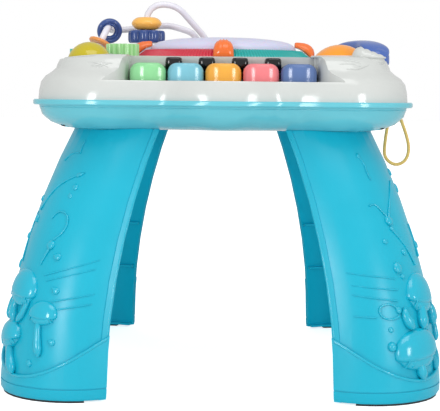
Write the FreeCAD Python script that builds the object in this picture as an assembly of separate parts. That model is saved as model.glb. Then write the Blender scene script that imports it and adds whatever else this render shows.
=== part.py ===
import FreeCAD, Part
import math
import os

os.makedirs("parts", exist_ok=True)

# Lengths are in millimetres and angles in degrees.
# X runs to the right, -Y points to the keyboard side, +Z is up.
# The origin is on the floor under the middle of the table.

# General walls and clearances
shell_wall = 2.5          # wall of the tray and the deck
rest_gap = 0.3            # between two pieces that rest near each other
outline_turn = 11.0       # degrees of a round outline that one straight edge stands for
turned_sides = 1.1        # flat sides of a turned piece, by the square root of its radius, over four
slide_gap = 0.4           # beside a button, key or pad that travels
seat_gap = 0.15           # between the top of a leg and the tray
shaft_gap = 0.05          # radial, between a turning piece and its pin

# Plan of the tray: a rounded square with a bulge at the middle of each side
corner_reach = 180.0      # middle of the table to the side of a corner lobe
corner_radius = 75.0
bulge_reach = 190.0       # middle of the table to the crown of a bulge
bulge_radius = 78.0
crease_radius = 30.0      # soft valley between a lobe and a bulge

# Heights of the tray
leg_height = 243.5        # floor to the flat underside of the tray
edge_rise = 22.0          # height of the tray's rounded lower edge
edge_run = 37.0           # width of the tray's rounded lower edge
flange_step = 5.5         # how far the flange stands proud of the tray's wall
flange_gap = 0.5          # plain strip under the flange
flange_thick = 5.0
flange_round = 1.0
deck_step = 5.0           # how far the flange stands proud of the white deck
deck_rise = 42.0          # seam to the flat top of the deck
shoulder_rise = 26.0      # seam to the middle of the deck's shoulder
left_fall_start = 104.0   # the deck falls away gently beyond this on the left
left_fall_angle = 5.0

# Keyboard notch and keys
lip_rise = 18.0           # seam to the top of the lip in front of the keys
key_count = 5
key_width = 32.8
key_pitch = 34.6
key_front = 154.0         # distance of the keys' front faces from the middle
key_length = 54.0
key_top_rise = 34.4       # seam to the top of a key
key_height = 19.0
key_round = 8.5
key_edge_round = 1.8
key_wall = 2.2
key_swing = 3.0
key_arm_width = 14.0
key_arm_length = 13.0
key_arm_height = 10.0
notch_margin = 2.4        # beside the outer keys
notch_behind = 2.0        # behind the keys
notch_flare = 41.0        # radius of the notch's flared cheeks
notch_flare_run = 30.0
lip_gap = 1.8             # between the lip and the keys
key_shaft_radius = 1.5
black_width = 16.0
black_pitch = 31.1
black_count = 4
black_length = 26.0
black_rise = 6.0          # above the white keys
black_round = 1.8
black_gap = 0.8
bracket_thick = 4.0

# Drum
drum_radius = 74.4
drum_edge_rise = 10.5     # above the deck
drum_crown = 11.5
drum_wall = 2.5
drum_travel = 2.5
drum_skirt = 6.0
drum_dome_height = 12.0
ring_outer = 89.0
ring_height = 10.0
ring_rim = 1.2
clamp_width = 20.0
clamp_groove = 3.0

# Round buttons
button_wall = 2.0
button_skirt = 6.0
button_travel = 4.0
button_depth = 17.0       # depth of a button's well under the deck
button_dome_height = 8.0
dome_steps = 6            # straight stretches that follow a dome's curve
yellow_x = -127.7
yellow_y = -106.0
yellow_radius = 20.4
yellow_crown = 14.5
orange_x = 111.0
orange_y = -101.0
orange_radius = 25.0
orange_crown = 12.4
post_radius = 5.0
hump_x = 135.0            # low hump beside the orange button
hump_y = -127.0
hump_long = 16.0
hump_wide = 13.0
hump_rise = 13.0
hump_sink = 4.0
hump_sides = 20

# Gear train on the left of the deck
tooth_count = 16
gear_pitch_radius = 15.0
gear_mesh_gap = 0.6
tooth_out = 1.5
tooth_in = 1.9
tooth_tip = 1.6
tooth_foot = 3.3
green_x = -100.0
green_y = -46.0
green_thick = 12.3
small_gear_thick = 9.0
gear_lift = 0.4
axle_radius = 3.0
axle_head_radius = 4.6
axle_head_thick = 2.5
idler_bearing = 150.0     # direction from the green gear to the idler
teal_bearing = 118.0      # direction from the idler to the teal gear
gear_disc_radius = 19.0
gear_disc_thick = 2.2

# Bead maze
bar_radius = 3.5
bar_sides = 12
bar_step = 6.0            # length of a straight run within a bend
socket_base = 6.2
socket_top = 5.0
socket_height = 11.0
tall_socket_height = 18.4
tall_socket_base = 9.0
tall_socket_top = 7.0
bar_depth = 12.0          # how far a bar's end reaches below the deck's top
bead_gap = 0.6
bead_stack_gap = 0.3
disc_bead_radius = 16.5
disc_bead_thick = 14.0
flower_radius = 20.5
flower_thick = 13.7
flower_lobes = 8
petal_share = 1.08         # radius of a petal over half the gap between petals
petal_steps = 6
ring_bead_radius = 13.5
ring_bead_section = 3.75
thin_bead_radius = 12.7
thin_bead_thick = 4.2
arch_x = -84.0
arch_y = 90.0
ring_bead_y = 72.0

# Handset and its cord
handset_a = (bulge_reach - 36.5, -22.0)
handset_b = (128.0, 46.0)
cup_radius = 14.5
cup_height = 15.0
cup_crown = 4.6
cup_mouth = 1.5
cup_sink = 5.0            # depth of the rests for the cups below the deck
handset_top_rise = 21.0   # above the deck
handset_thick = 11.0
grip_width = 21.0
cord_radius = 1.7
tail_length = 32.0
grommet_radius = 3.4
grommet_length = 10.0

# Legs: half-pipe shells around a curved centre line in the corner's diagonal plane
foot_centre = 137.0       # of the leg's section at the floor, in X and in Y
head_centre = 87.5        # of the leg's section at the tray
foot_radius = 67.5
head_radius = 55.5
radius_power = 1.4
leg_wall = 3.0
leg_half_arc = 75.0
leg_band = 6.0            # raised band along each open edge, in degrees
leg_band_rise = 1.2
leg_sections = 7
boot_rise = 2.5
boot_low = 21.5           # lowest point of the boot's upper edge
boot_scoop = 76.0         # radius of the boot's scooped upper edge
boot_top = 75.0
boot_groove = 12.0
boot_groove_width = 1.2
boot_groove_depth = 0.8
sole_inset = 0.6
pad_thick = 2.0
pad_half_arc = 58.0
pad_width = 7.0
rib_thick = 2.5
rib_depth = 5.0
rib_levels = (72.0, 124.0)
head_plate = 3.0
plug_radius = 12.0
plug_height = 13.0
plug_offset = 25.0

# Inside of the tray
screw_x = 147.0
screw_y = 130.0
screw_radius = 1.5
screw_head_radius = 3.2
screw_head = 2.6
screw_length = 20.0
screw_well_radius = 4.0
boss_wall = 1.8
boss_join = 18.5          # height of the joint between the two halves of a screw boss, over the tray's underside
screw_seat = 3.5
board_thick = 1.6
board_height = 38.5       # underside of the main board over the tray's underside
board_width = 100.0
board_depth = 70.0
post_size = 4.0
key_board_height = 28.5
key_board_depth = 34.0
cell_radius = 7.1
cell_length = 50.0
cell_pitch = 15.0
cell_tip = 1.2
cell_play = 1.0
contact_thick = 0.6
box_wall = 2.5
door_thick = 2.2
door_lap = 3.0
door_tail = 14.0
speaker_y = 92.0
speaker_radius = 27.0
speaker_height = 15.0
slot_count = 5
slot_pitch = 8.0
slot_width = 3.0
switch_x = 78.0
switch_travel = 5.0
switch_stem = 4.4
dome_wall = 1.0
dome_foot = 6.0
dome_head = 3.4

# Values that follow from the sizes above
tray_z = leg_height
flange_z = tray_z + edge_rise + flange_gap
seam_z = flange_z + flange_thick
deck_z = seam_z + deck_rise
lip_z = seam_z + lip_rise
key_top = seam_z + key_top_rise
key_bottom = key_top - key_height
key_back = key_front - key_length
key_hinge_y = -(key_back - key_arm_length + key_arm_height / 2)
key_hinge_z = key_bottom + key_arm_height / 2
keys_half = (key_count - 1) * key_pitch / 2 + key_width / 2
notch_half = keys_half + notch_margin
notch_back = key_back - notch_behind
drum_edge_z = deck_z + drum_edge_rise
drum_hole = drum_radius + slide_gap
floor_top = tray_z + shell_wall
board_z = tray_z + board_height
key_board_z = tray_z + key_board_height
cup_floor = deck_z - cup_sink
deck_under = deck_z - shell_wall
gear_distance = 2 * gear_pitch_radius + gear_mesh_gap
ring_hole = ring_bead_radius - 2 * ring_bead_section
low_bar_z = deck_z + 33.0
switch_slot = switch_stem + switch_travel + 1.0

# Routes of the bars and of the cord, chosen by hand
arch_route = [
    (arch_x, arch_y, deck_z - bar_depth),
    (arch_x, arch_y, deck_z + 61.0),
    (-52.0, 93.0, deck_z + 60.8),
    (-17.0, 117.0, deck_z + 23.0),
    (-14.0, 118.0, deck_z - bar_depth),
]
arch_bends = [17.0, 28.0, 30.0]
low_route = [
    (-141.0, 28.0, deck_z - bar_depth),
    (-123.0, 40.0, low_bar_z),
    (-123.0, 121.0, low_bar_z),
    (-60.0, 122.0, deck_z + 40.0),
    (-28.0, 122.0, deck_z + 30.0),
    (-28.0, 122.0, deck_z - bar_depth),
]
low_bends = [20.0, 18.0, 40.0, 17.0]
cord_route = [(bulge_reach + x, y, tray_z + z) for x, y, z in (
    (-19.8, -2.0, 4.0),
    (-23.4, -1.5, -19.5),
    (-21.4, -1.2, -32.0),
    (-9.4, 0.0, -38.7),
    (2.3, 1.0, -31.2),
    (3.2, 1.8, -11.5),
    (-7.6, 2.0, 13.3),
)]
cord_bend_share = 0.48


def vec(x, y, z):
    return FreeCAD.Vector(x, y, z)


def save(name, shape):
    shape.exportStep("parts/" + name + ".step")


def block(low, high):
    return Part.makeBox(high[0] - low[0], high[1] - low[1], high[2] - low[2], vec(*low))


def rod(x, y, z, radius, height):
    return Part.makeCylinder(radius, height, vec(x, y, z))


def lathe(points, x=0.0, y=0.0):
    """Turned solid with flat sides about the vertical line through (x, y); points are (radius, height)."""
    sides = 4 * max(3, round(turned_sides * math.sqrt(max(r for r, z in points))))
    step = 360.0 / sides
    faces = []
    for (r, z), (next_r, next_z) in zip(points, points[1:] + points[:1]):
        for index in range(sides):
            ring = []
            if r > 0:
                ring += [polar((x, y), r, step * index, z), polar((x, y), r, step * (index + 1), z)]
            else:
                ring.append(vec(x, y, z))
            if next_r > 0:
                ring += [polar((x, y), next_r, step * (index + 1), next_z), polar((x, y), next_r, step * index, next_z)]
            else:
                ring.append(vec(x, y, next_z))
            if len(ring) > 2:
                faces.append(flat_face(ring))
    return closed_solid(faces)


def polar(centre, radius, angle, z=0.0):
    turn = math.radians(angle)
    return vec(centre[0] + radius * math.cos(turn), centre[1] + radius * math.sin(turn), z)


def arc(centre, radius, start, end, z):
    """Points along a round stretch of an outline, joined later by short straight edges."""
    steps = max(2, round(abs(end - start) / outline_turn))
    return [polar(centre, radius, start + (end - start) * k / steps, z) for k in range(steps + 1)]


def flat_face(points):
    return Part.Face(Part.makePolygon(points + points[:1]))


def closed_solid(faces):
    solid = Part.Solid(Part.Shell(faces))
    if solid.Volume < 0:
        solid.reverse()
    return solid


def stacked(rings):
    """Solid through level rings that have as many points each, joined by flat sides."""
    faces = [flat_face(rings[0]), flat_face(rings[-1])]
    for low, high in zip(rings, rings[1:]):
        for index in range(len(low)):
            after = (index + 1) % len(low)
            faces.append(flat_face([low[index], low[after], high[after], high[index]]))
    return closed_solid(faces)


def rotated(shape, angle, centre=(0.0, 0.0, 0.0), axis=(0.0, 0.0, 1.0)):
    copy = shape.copy()
    copy.rotate(vec(*centre), vec(*axis), angle)
    return copy


def crease_centre():
    """Centre of the valley arc beside the bulge on the +X side, outside the outline."""
    lobe = corner_reach - corner_radius
    bulge = bulge_reach - bulge_radius
    lobe_far = corner_radius + crease_radius
    bulge_far = bulge_radius + crease_radius
    span = math.hypot(lobe - bulge, lobe)
    along = (bulge_far ** 2 - lobe_far ** 2 + span ** 2) / (2 * span)
    aside = math.sqrt(bulge_far ** 2 - along ** 2)
    ux = (lobe - bulge) / span
    uy = lobe / span
    return (bulge + ux * along + uy * aside, uy * along - ux * aside)


def lobed_ring(inset, z):
    """Outline of the tray at height z, drawn in by inset on every side."""
    lobe = corner_reach - corner_radius
    bulge = bulge_reach - bulge_radius
    valley = crease_centre()
    to_bulge = math.degrees(math.atan2(valley[1], valley[0] - bulge))
    to_lobe = math.degrees(math.atan2(valley[1] - lobe, valley[0] - lobe))
    side = arc((bulge, 0), bulge_radius - inset, -to_bulge, to_bulge, z)
    dip = arc(valley, crease_radius + inset, to_bulge + 180, to_lobe + 180, z)
    corner = arc((lobe, lobe), corner_radius - inset, to_lobe, 90 - to_lobe, z)
    mirror = (valley[1], valley[0])
    dip_back = arc(mirror, crease_radius + inset, 270 - to_lobe, 270 - to_bulge, z)
    quarter = side[:-1] + dip[:-1] + corner[:-1] + dip_back[:-1]
    ring = []
    for turn in (0, 90, 180, 270):
        way = FreeCAD.Rotation(vec(0, 0, 1), turn)
        ring += [way.multVec(point) for point in quarter]
    return ring


def lobed_solid(profile):
    """Solid through the outlines given as (inset, height) pairs."""
    return stacked([lobed_ring(inset, z) for inset, z in profile])


def prism(outline, height):
    """Upright prism on a wire or on a list of points."""
    face = flat_face(outline) if isinstance(outline, list) else Part.Face(outline)
    return face.extrude(vec(0, 0, height))


def tray_edge(extra, steps):
    """Quarter ellipse of the tray's lower edge, from the flat underside up to its wall."""
    profile = []
    for step in range(steps + 1):
        turn = math.pi / 2 * (1 - step / steps)
        inset = flange_step + edge_run * (1 - math.cos(turn)) + extra
        height = tray_z + edge_rise * (1 - math.sin(turn)) + extra
        profile.append((inset, height))
    return profile


def tray_outer():
    body = lobed_solid(tray_edge(0.0, 4))
    neck = prism(lobed_ring(flange_step, tray_z + edge_rise), flange_gap)
    rim = lobed_solid([
        (flange_round, flange_z),
        (0.0, flange_z + flange_round),
        (0.0, seam_z - flange_round),
        (flange_round, seam_z),
    ])
    return body.fuse([neck, rim])


def tray_hollow():
    body = lobed_solid(tray_edge(shell_wall, 2))
    top = tray_z + edge_rise + shell_wall
    mouth = prism(lobed_ring(flange_step + shell_wall, top), seam_z - top)
    return body.fuse(mouth)


def deck_outer():
    """White upper moulding before anything is cut: wall, rounded shoulder, small riser, flat top."""
    shoulder = seam_z + shoulder_rise
    body = lobed_solid([
        (deck_step, seam_z),
        (deck_step + 0.5, seam_z + 8),
        (deck_step + 2.4, shoulder - 9.5),
        (deck_step + 6.5, shoulder - 4),
        (deck_step + 12.5, shoulder),
        (deck_step + 16.5, shoulder + 3.5),
        (deck_step + 18.2, deck_z - 8),
        (deck_step + 20.5, deck_z - 3.5),
        (deck_step + 25.5, deck_z - 0.7),
        (deck_step + 31.0, deck_z),
    ])
    wedge = block((-2 * bulge_reach, -bulge_reach, deck_z), (-left_fall_start, bulge_reach, deck_z + 60))
    fall = rotated(wedge, -left_fall_angle, (-left_fall_start, 0, deck_z), (0, 1, 0))
    return body.cut(fall)


def deck_hollow():
    shoulder = seam_z + shoulder_rise
    inner = deck_step + shell_wall
    body = lobed_solid([
        (inner, seam_z),
        (inner + 2.2, shoulder - 10),
        (inner + 13.0, shoulder - 2),
        (inner + 18.5, deck_z - 10),
        (inner + 26.0, deck_under),
    ])
    wedge = block((-2 * bulge_reach, -bulge_reach, deck_under), (-left_fall_start, bulge_reach, deck_z + 60))
    fall = rotated(wedge, -left_fall_angle, (-left_fall_start, 0, deck_under), (0, 1, 0))
    return body.cut(fall)


def notch_wire(grow, z):
    """Plan of the keyboard notch: straight cheeks that flare towards the front."""
    half = notch_half + grow
    back = -(notch_back - grow)
    flare = notch_flare - grow
    turn = 62.0
    start = -(key_front - notch_flare_run + 10)
    far = -1.2 * bulge_reach
    right = (notch_half + notch_flare, start)
    left = (-right[0], start)
    tip = polar(right, flare, 180 + turn, z)
    cheek_right = Part.Arc(vec(half, start, z), polar(right, flare, 180 + turn / 2, z), tip).toShape()
    mirror_tip = vec(-tip.x, tip.y, z)
    cheek_left = Part.Arc(mirror_tip, polar(left, flare, -turn / 2, z), vec(-half, start, z)).toShape()
    return Part.Wire([
        Part.makeLine(vec(half, back, z), vec(half, start, z)),
        cheek_right,
        Part.makeLine(tip, vec(tip.x, far, z)),
        Part.makeLine(vec(tip.x, far, z), vec(-tip.x, far, z)),
        Part.makeLine(vec(-tip.x, far, z), mirror_tip),
        cheek_left,
        Part.makeLine(vec(-half, start, z), vec(-half, back, z)),
        Part.makeLine(vec(-half, back, z), vec(half, back, z)),
    ])


def fall_depth(x):
    """How far the deck's top lies below its flat middle at x on the left."""
    return max(0.0, -x - left_fall_start) * math.tan(math.radians(left_fall_angle))


def button_frame(shape, x, y, tilt):
    """Moves a piece drawn round the origin to its button's place on the deck."""
    shape = rotated(shape, tilt, (0, 0, 0), (0, 1, 0))
    shape.translate(vec(x, y, deck_z - fall_depth(x)))
    return shape


def yellow_place(shape):
    return button_frame(shape, yellow_x, yellow_y, -left_fall_angle)


def orange_place(shape):
    return button_frame(shape, orange_x, orange_y, 0.0)


def handset_cups():
    return (handset_a, handset_b)


def deck_additions():
    """Wells, rests, bosses and brackets moulded under the deck."""
    parts = []
    for place, radius in ((yellow_place, yellow_radius), (orange_place, orange_radius)):
        parts.append(place(rod(0, 0, -button_depth - shell_wall, radius + slide_gap + shell_wall,
                               button_depth + shell_wall)))
    for x, y in handset_cups():
        parts.append(rod(x, y, cup_floor - rest_gap - shell_wall, cup_radius + 0.8 + shell_wall,
                         cup_sink + rest_gap + shell_wall))
    for sx in (-1, 1):
        for sy in (-1, 1):
            boss_z = tray_z + boss_join + rest_gap
            parts.append(rod(sx * screw_x, sy * screw_y, boss_z, screw_radius + 2 * boss_wall, deck_z - boss_z))
        inner = sx * (keys_half + 1.0)
        outer = sx * (keys_half + 1.0 + bracket_thick)
        parts.append(block((min(inner, outer), key_hinge_y - 5, key_bottom - 1),
                           (max(inner, outer), key_hinge_y + 5, deck_z - 1)))
    return parts


def light_hump():
    """Low ridged shell-shaped hump moulded beside the orange button."""
    levels = [hump_rise * math.sin(math.radians(turn)) for turn in (-40, 0, 25, 48, 68, 84)]
    rings = []
    for level in levels:
        share = math.sqrt(1 - (level / hump_rise) ** 2)
        points = []
        for index in range(hump_sides):
            turn = 2 * math.pi * index / hump_sides
            points.append(vec(hump_x + hump_long * share * math.cos(turn), hump_y + hump_wide * share * math.sin(turn),
                              deck_z - hump_sink + level))
        rings.append(points)
    return stacked(rings)


def make_top_shell():
    outer = deck_outer()
    notch = prism(notch_wire(0.0, lip_z), 2 * deck_rise)
    skin = prism(notch_wire(shell_wall, lip_z - shell_wall), 2 * deck_rise)
    body = outer.cut(notch)
    shell = body.cut(deck_hollow().cut(skin))
    shell = shell.fuse([part.common(body) for part in deck_additions()])
    hump = light_hump().cut(deck_hollow())
    shell = shell.fuse(hump)
    cuts = [rod(0, 0, deck_under - 5, drum_hole, 40)]
    cuts.append(block((-keys_half - 1.0, -key_front - lip_gap, lip_z - 10),
                      (keys_half + 1.0, -notch_back, lip_z + 2)))
    cuts.append(block((-keys_half - 1.0, -notch_back - 1, key_bottom - 3),
                      (keys_half + 1.0, -notch_back + shell_wall + 1, key_bottom + key_arm_height + 2)))
    for place, radius in ((yellow_place, yellow_radius), (orange_place, orange_radius)):
        cuts.append(place(rod(0, 0, -button_depth, radius + slide_gap, button_depth + 30)))
    for x, y in handset_cups():
        cuts.append(rod(x, y, cup_floor - rest_gap, cup_radius + 0.8, 60))
    for sx in (-1, 1):
        for sy in (-1, 1):
            cuts.append(rod(sx * screw_x, sy * screw_y, tray_z + boss_join, screw_radius + 0.02, screw_length))
    cuts.append(Part.makeCylinder(key_shaft_radius + 0.02, 400, vec(-200, key_hinge_y, key_hinge_z), vec(1, 0, 0)))
    cuts.append(rod(handset_a[0], handset_a[1], cup_floor - 10, cord_radius + 0.8, 20))
    for route in (arch_route, low_route):
        for point, near in ((route[0], route[1]), (route[-1], route[-2])):
            way = vec(*near) - vec(*point)
            cuts.append(Part.makeCylinder(bar_radius + 0.02, 2 * bar_depth, vec(*point), way))
    return shell.cut(cuts)


def leg_axis(z):
    """Distance of the leg's section centre from the middle, in X and in Y, at height z."""
    share = z / leg_height
    return foot_centre - (foot_centre - head_centre) * share ** 2


def leg_radius(z):
    share = max(z, 0.0) / leg_height
    return foot_radius - (foot_radius - head_radius) * share ** radius_power


def crescent(centre, outer, inner, low, high, z):
    """Closed outline between two radii and two directions."""
    return arc(centre, outer, low, high, z) + arc(centre, inner, high, low, z)


def leg_section(z, outer_extra, inner_radius_drop, band):
    """Closed crescent at height z, raised by band along both ends; its open side faces the middle."""
    centre = (leg_axis(z), leg_axis(z))
    outer = leg_radius(z) + outer_extra
    inner = leg_radius(z) - inner_radius_drop
    low = 45 - leg_half_arc
    high = 45 + leg_half_arc
    if not band:
        return crescent(centre, outer, inner, low, high, z)
    return (arc(centre, outer + band, low, low + leg_band, z) + arc(centre, outer, low + leg_band, high - leg_band, z)
            + arc(centre, outer + band, high - leg_band, high, z) + arc(centre, inner, high, low, z))


def sector(z, thick, inner, outer):
    """Flat slice of the half pipe between two radii, centred on the leg's section at height z."""
    centre = (leg_axis(z), leg_axis(z))
    low = 45 - leg_half_arc + 1
    high = 45 + leg_half_arc - 1
    return prism(crescent(centre, outer, inner, low, high, z), thick)


def plug_place():
    return head_centre + plug_offset * math.cos(math.radians(45))


def make_leg():
    """One half-pipe leg with its boot, ribs, head plate and the plug that enters the tray."""
    low = pad_thick
    high = leg_height + 8.0
    levels = [low + (high - low) * step / leg_sections for step in range(leg_sections + 1)]
    pipe = stacked([leg_section(z, 0.0, leg_wall, leg_band_rise) for z in levels])
    boot_levels = (boot_groove + boot_groove_width, boot_top / 2 + 8, boot_top)
    boot = stacked([leg_section(z, boot_rise, 1.0, 0) for z in boot_levels])
    groove = stacked([leg_section(z, boot_rise - boot_groove_depth, 1.0, 0)
                      for z in (boot_groove, boot_groove + boot_groove_width)])
    sole = stacked([leg_section(z, boot_rise - inset, 1.0, 0)
                    for z, inset in ((pad_thick, sole_inset + 1.6), (pad_thick + 2.5, sole_inset),
                                     (boot_groove, 0.0))])
    scoop = Part.makeCylinder(boot_scoop, 400, vec(0, 0, boot_low + boot_scoop), vec(1, 1, 0))
    boot = boot.cut(scoop)
    leg = pipe.fuse([boot, groove, sole])
    for z in rib_levels:
        leg = leg.fuse(sector(z, rib_thick, leg_radius(z) - leg_wall - rib_depth, leg_radius(z) - leg_wall / 2))
    leg = leg.fuse(sector(pad_thick, rib_thick, foot_radius - leg_wall - pad_width, foot_radius - leg_wall / 2))
    leg = leg.fuse(sector(leg_height - head_plate, head_plate - seat_gap, 6.0, head_radius - leg_wall / 2))
    seat = tray_outer()
    seat.translate(vec(0, 0, -seat_gap))
    leg = leg.cut(seat)
    place = plug_place()
    plug = rod(place, place, leg_height - head_plate / 2, plug_radius, plug_height + head_plate / 2)
    return leg.fuse(plug)


def leg_names():
    """Names by quarter turns from the +X +Y corner."""
    return ("leg_rear_right", "leg_rear_left", "leg_front_left", "leg_front_right")


def make_foot_pads():
    centre = (leg_axis(0), leg_axis(0))
    outer = foot_radius + boot_rise - sole_inset - 2.4
    low = 45 - pad_half_arc
    high = 45 + pad_half_arc
    inner = outer - pad_width
    pad = prism(crescent(centre, outer, inner, low, high, 0), pad_thick)
    return Part.makeCompound([rotated(pad, 90 * quarter) for quarter in range(4)])


def each_corner(shape):
    return [rotated(shape, 90 * quarter) for quarter in range(4)]


def door_span():
    """Half width, front edge and rear edge of the battery door."""
    half = 1.5 * cell_pitch + cell_play + door_lap
    front = -(cell_length / 2 + cell_play + contact_thick + door_lap)
    return half, front, -front + door_tail


def cord_ends():
    """Places where the cord leaves the tray, each with the direction away from the tray."""
    first = vec(*cord_route[0])
    last = vec(*cord_route[-1])
    out_first = vec(*cord_route[1]) - first
    out_last = vec(*cord_route[-2]) - last
    return ((first, out_first.normalize()), (last, out_last.normalize()))


def make_bottom_shell():
    outer = tray_outer()
    shell = outer.cut(tray_hollow())
    half, front, back = door_span()
    box_top = floor_top + 2 * cell_radius + 2 * cell_play + box_wall
    additions = [block((-half - box_wall, front - box_wall, tray_z), (half + box_wall, back + box_wall, box_top))]
    for sx in (-1, 1):
        for sy in (-1, 1):
            boss = rod(sx * screw_x, sy * screw_y, tray_z, screw_well_radius + boss_wall, boss_join)
            additions.append(boss.common(outer))
            post_x = sx * (board_width / 2 - post_size)
            post_y = sy * (board_depth / 2 - post_size)
            additions.append(rod(post_x, post_y, tray_z + 1, post_size, board_z - tray_z - 1))
        key_post_x = sx * (keys_half - 8)
        additions.append(rod(key_post_x, -(key_front - key_board_depth / 2 - 6), tray_z + 1, post_size,
                             key_board_z - tray_z - 1))
    place = plug_place()
    socket_tube = rod(place, place, tray_z + 1, plug_radius + rest_gap + shell_wall, plug_height + 2)
    additions += each_corner(socket_tube)
    shell = shell.fuse(additions)
    cuts = [block((-half - rest_gap, front - rest_gap, tray_z - 1),
                  (half + rest_gap, back + rest_gap, tray_z + door_thick + rest_gap))]
    cell_half = 1.5 * cell_pitch + cell_play
    cell_end = cell_length / 2 + cell_play + contact_thick
    cuts.append(block((-cell_half, -cell_end, tray_z), (cell_half, cell_end, box_top - box_wall)))
    cuts.append(rod(0, back - door_tail / 2, tray_z, screw_radius + 0.02, 12))
    for sx in (-1, 1):
        for sy in (-1, 1):
            cuts.append(rod(sx * screw_x, sy * screw_y, tray_z - 1, screw_well_radius, boss_join - screw_seat + 1))
            cuts.append(rod(sx * screw_x, sy * screw_y, tray_z, screw_radius + 0.3, boss_join + 1))
    plug_hole = rod(place, place, tray_z - 1, plug_radius + rest_gap, plug_height + 2)
    cuts += each_corner(plug_hole)
    for index in range(slot_count):
        x = (index - (slot_count - 1) / 2) * slot_pitch
        reach = math.sqrt((speaker_radius - 6) ** 2 - x ** 2)
        cuts.append(block((x - slot_width / 2, speaker_y - reach, tray_z - 1),
                          (x + slot_width / 2, speaker_y + reach, floor_top + 1)))
    cuts.append(block((switch_x - switch_slot / 2, -switch_stem / 2 - slide_gap, tray_z - 1),
                      (switch_x + switch_slot / 2, switch_stem / 2 + slide_gap, floor_top + 1)))
    for point, away in cord_ends():
        cuts.append(Part.makeCylinder(grommet_radius + 0.02, 24, point - away * 20, away))
    return shell.cut(cuts)


def make_grommets():
    """Soft bush moulded on each end of the cord, seated in its hole in the tray's wall."""
    return Part.makeCompound([Part.makeCylinder(grommet_radius, grommet_length, point - away * grommet_length, away)
                              for point, away in cord_ends()])


def key_centres():
    return [(index - (key_count - 1) / 2) * key_pitch for index in range(key_count)]


def black_centres():
    return [(index - (black_count - 1) / 2) * black_pitch for index in range(black_count)]


def make_key(x):
    """One key: rounded hollow cap, cut back beside the black keys, with an arm to the shaft."""
    left = x - key_width / 2
    right = x + key_width / 2
    front = -key_front
    top = key_top
    r = key_round
    wire = Part.Wire([
        Part.makeLine(vec(left, front, key_bottom), vec(left, front, top - r)),
        Part.Arc(vec(left, front, top - r), vec(left + r * (1 - math.sqrt(0.5)), front, top - r * (1 - math.sqrt(0.5))),
                 vec(left + r, front, top)).toShape(),
        Part.makeLine(vec(left + r, front, top), vec(right - r, front, top)),
        Part.Arc(vec(right - r, front, top), vec(right - r * (1 - math.sqrt(0.5)), front, top - r * (1 - math.sqrt(0.5))),
                 vec(right, front, top - r)).toShape(),
        Part.makeLine(vec(right, front, top - r), vec(right, front, key_bottom)),
        Part.makeLine(vec(right, front, key_bottom), vec(left, front, key_bottom)),
    ])
    cap = Part.Face(wire).extrude(vec(0, key_length, 0))
    front_edges = [e for e in cap.Edges
                   if abs(e.CenterOfMass.y - front) < 0.01 and e.CenterOfMass.z > key_bottom + 0.5]
    cap = cap.makeChamfer(key_edge_round, front_edges)
    inside = block((left + key_wall, front + key_wall, key_bottom - 1),
                   (right - key_wall, front + key_length - key_wall, top - r + 2))
    cap = cap.cut(inside)
    for bx in black_centres():
        if abs(bx - x) < key_pitch:
            reach = black_width / 2 + black_gap
            cap = cap.cut(block((bx - reach, -key_back - black_length - black_gap - notch_behind, key_bottom - 1),
                                (bx + reach, -key_back + 1, top + 1)))
            side = math.copysign(1, bx - x)
            face = bx - side * reach
            cap = cap.fuse(block((min(face, face - side * key_wall), -key_back - black_length - notch_behind - 2, key_bottom),
                                 (max(face, face - side * key_wall), -key_back - 0.0, top - r + 3)))
            shelf = -key_back - black_length - black_gap - notch_behind
            edge = x + side * key_width / 2
            cap = cap.fuse(block((min(face, edge), shelf - key_wall, key_bottom),
                                 (max(face, edge), shelf, top - r)))
    arm = block((x - key_arm_width / 2, -key_back - key_wall, key_bottom),
                (x + key_arm_width / 2, -key_back + key_arm_length, key_bottom + key_arm_height))
    post = rod(x, -(key_front - key_board_depth / 2 - 6), key_bottom - 2, post_radius - 1.5, top - r + 3 - key_bottom + 2)
    bore = Part.makeCylinder(key_shaft_radius + shaft_gap, key_width, vec(left, key_hinge_y, key_hinge_z), vec(1, 0, 0))
    return cap.fuse([arm, post]).cut(bore).removeSplitter()


def make_black_keys():
    """Four raised black keys on one bar that stands against the back wall of the notch."""
    top = key_top + black_rise
    low = key_bottom + key_arm_height + 1.5
    back = -notch_back
    bar_front = back - (notch_behind - slide_gap)
    half = black_centres()[-1] + black_width / 2
    bar = block((-half, bar_front, low), (half, back, top - black_round))
    fingers = []
    for x in black_centres():
        finger = block((x - black_width / 2, -key_back - black_length, low), (x + black_width / 2, back, top))
        edges = [e for e in finger.Edges if e.CenterOfMass.z > top - 0.01 and e.CenterOfMass.y < back - 0.01]
        fingers.append(finger.makeChamfer(black_round, edges))
    return bar.fuse(fingers).removeSplitter()


def make_key_shaft():
    reach = keys_half + 1.0 + bracket_thick
    return Part.makeCylinder(key_shaft_radius, 2 * reach, vec(-reach, key_hinge_y, key_hinge_z), vec(1, 0, 0))


def rubber_dome(x, y, base, top):
    """Hollow rubber return dome: a short cone on a flat foot."""
    return lathe([
        (dome_foot, base),
        (dome_foot, base + dome_wall),
        (dome_head, top),
        (0.0, top),
        (0.0, top - dome_wall),
        (dome_head - dome_wall, top - dome_wall),
        (dome_foot - 2 * dome_wall, base),
    ], x, y)


def make_key_domes():
    y = -(key_front - key_board_depth / 2 - 6)
    return [rubber_dome(x, y, key_board_z + board_thick, key_bottom - 2 - rest_gap) for x in key_centres()]


def make_key_board():
    y = -(key_front - 6)
    return block((-keys_half + 3, y, key_board_z), (keys_half - 3, y + key_board_depth, key_board_z + board_thick))


def make_main_board():
    board = block((-board_width / 2, -board_depth / 2, board_z), (board_width / 2, board_depth / 2, board_z + board_thick))
    chips = [block((-30, 12, board_z + board_thick), (-16, 26, board_z + board_thick + 1.5)),
             block((18, -26, board_z + board_thick), (36, -18, board_z + board_thick + 6))]
    return board.fuse(chips)


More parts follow.
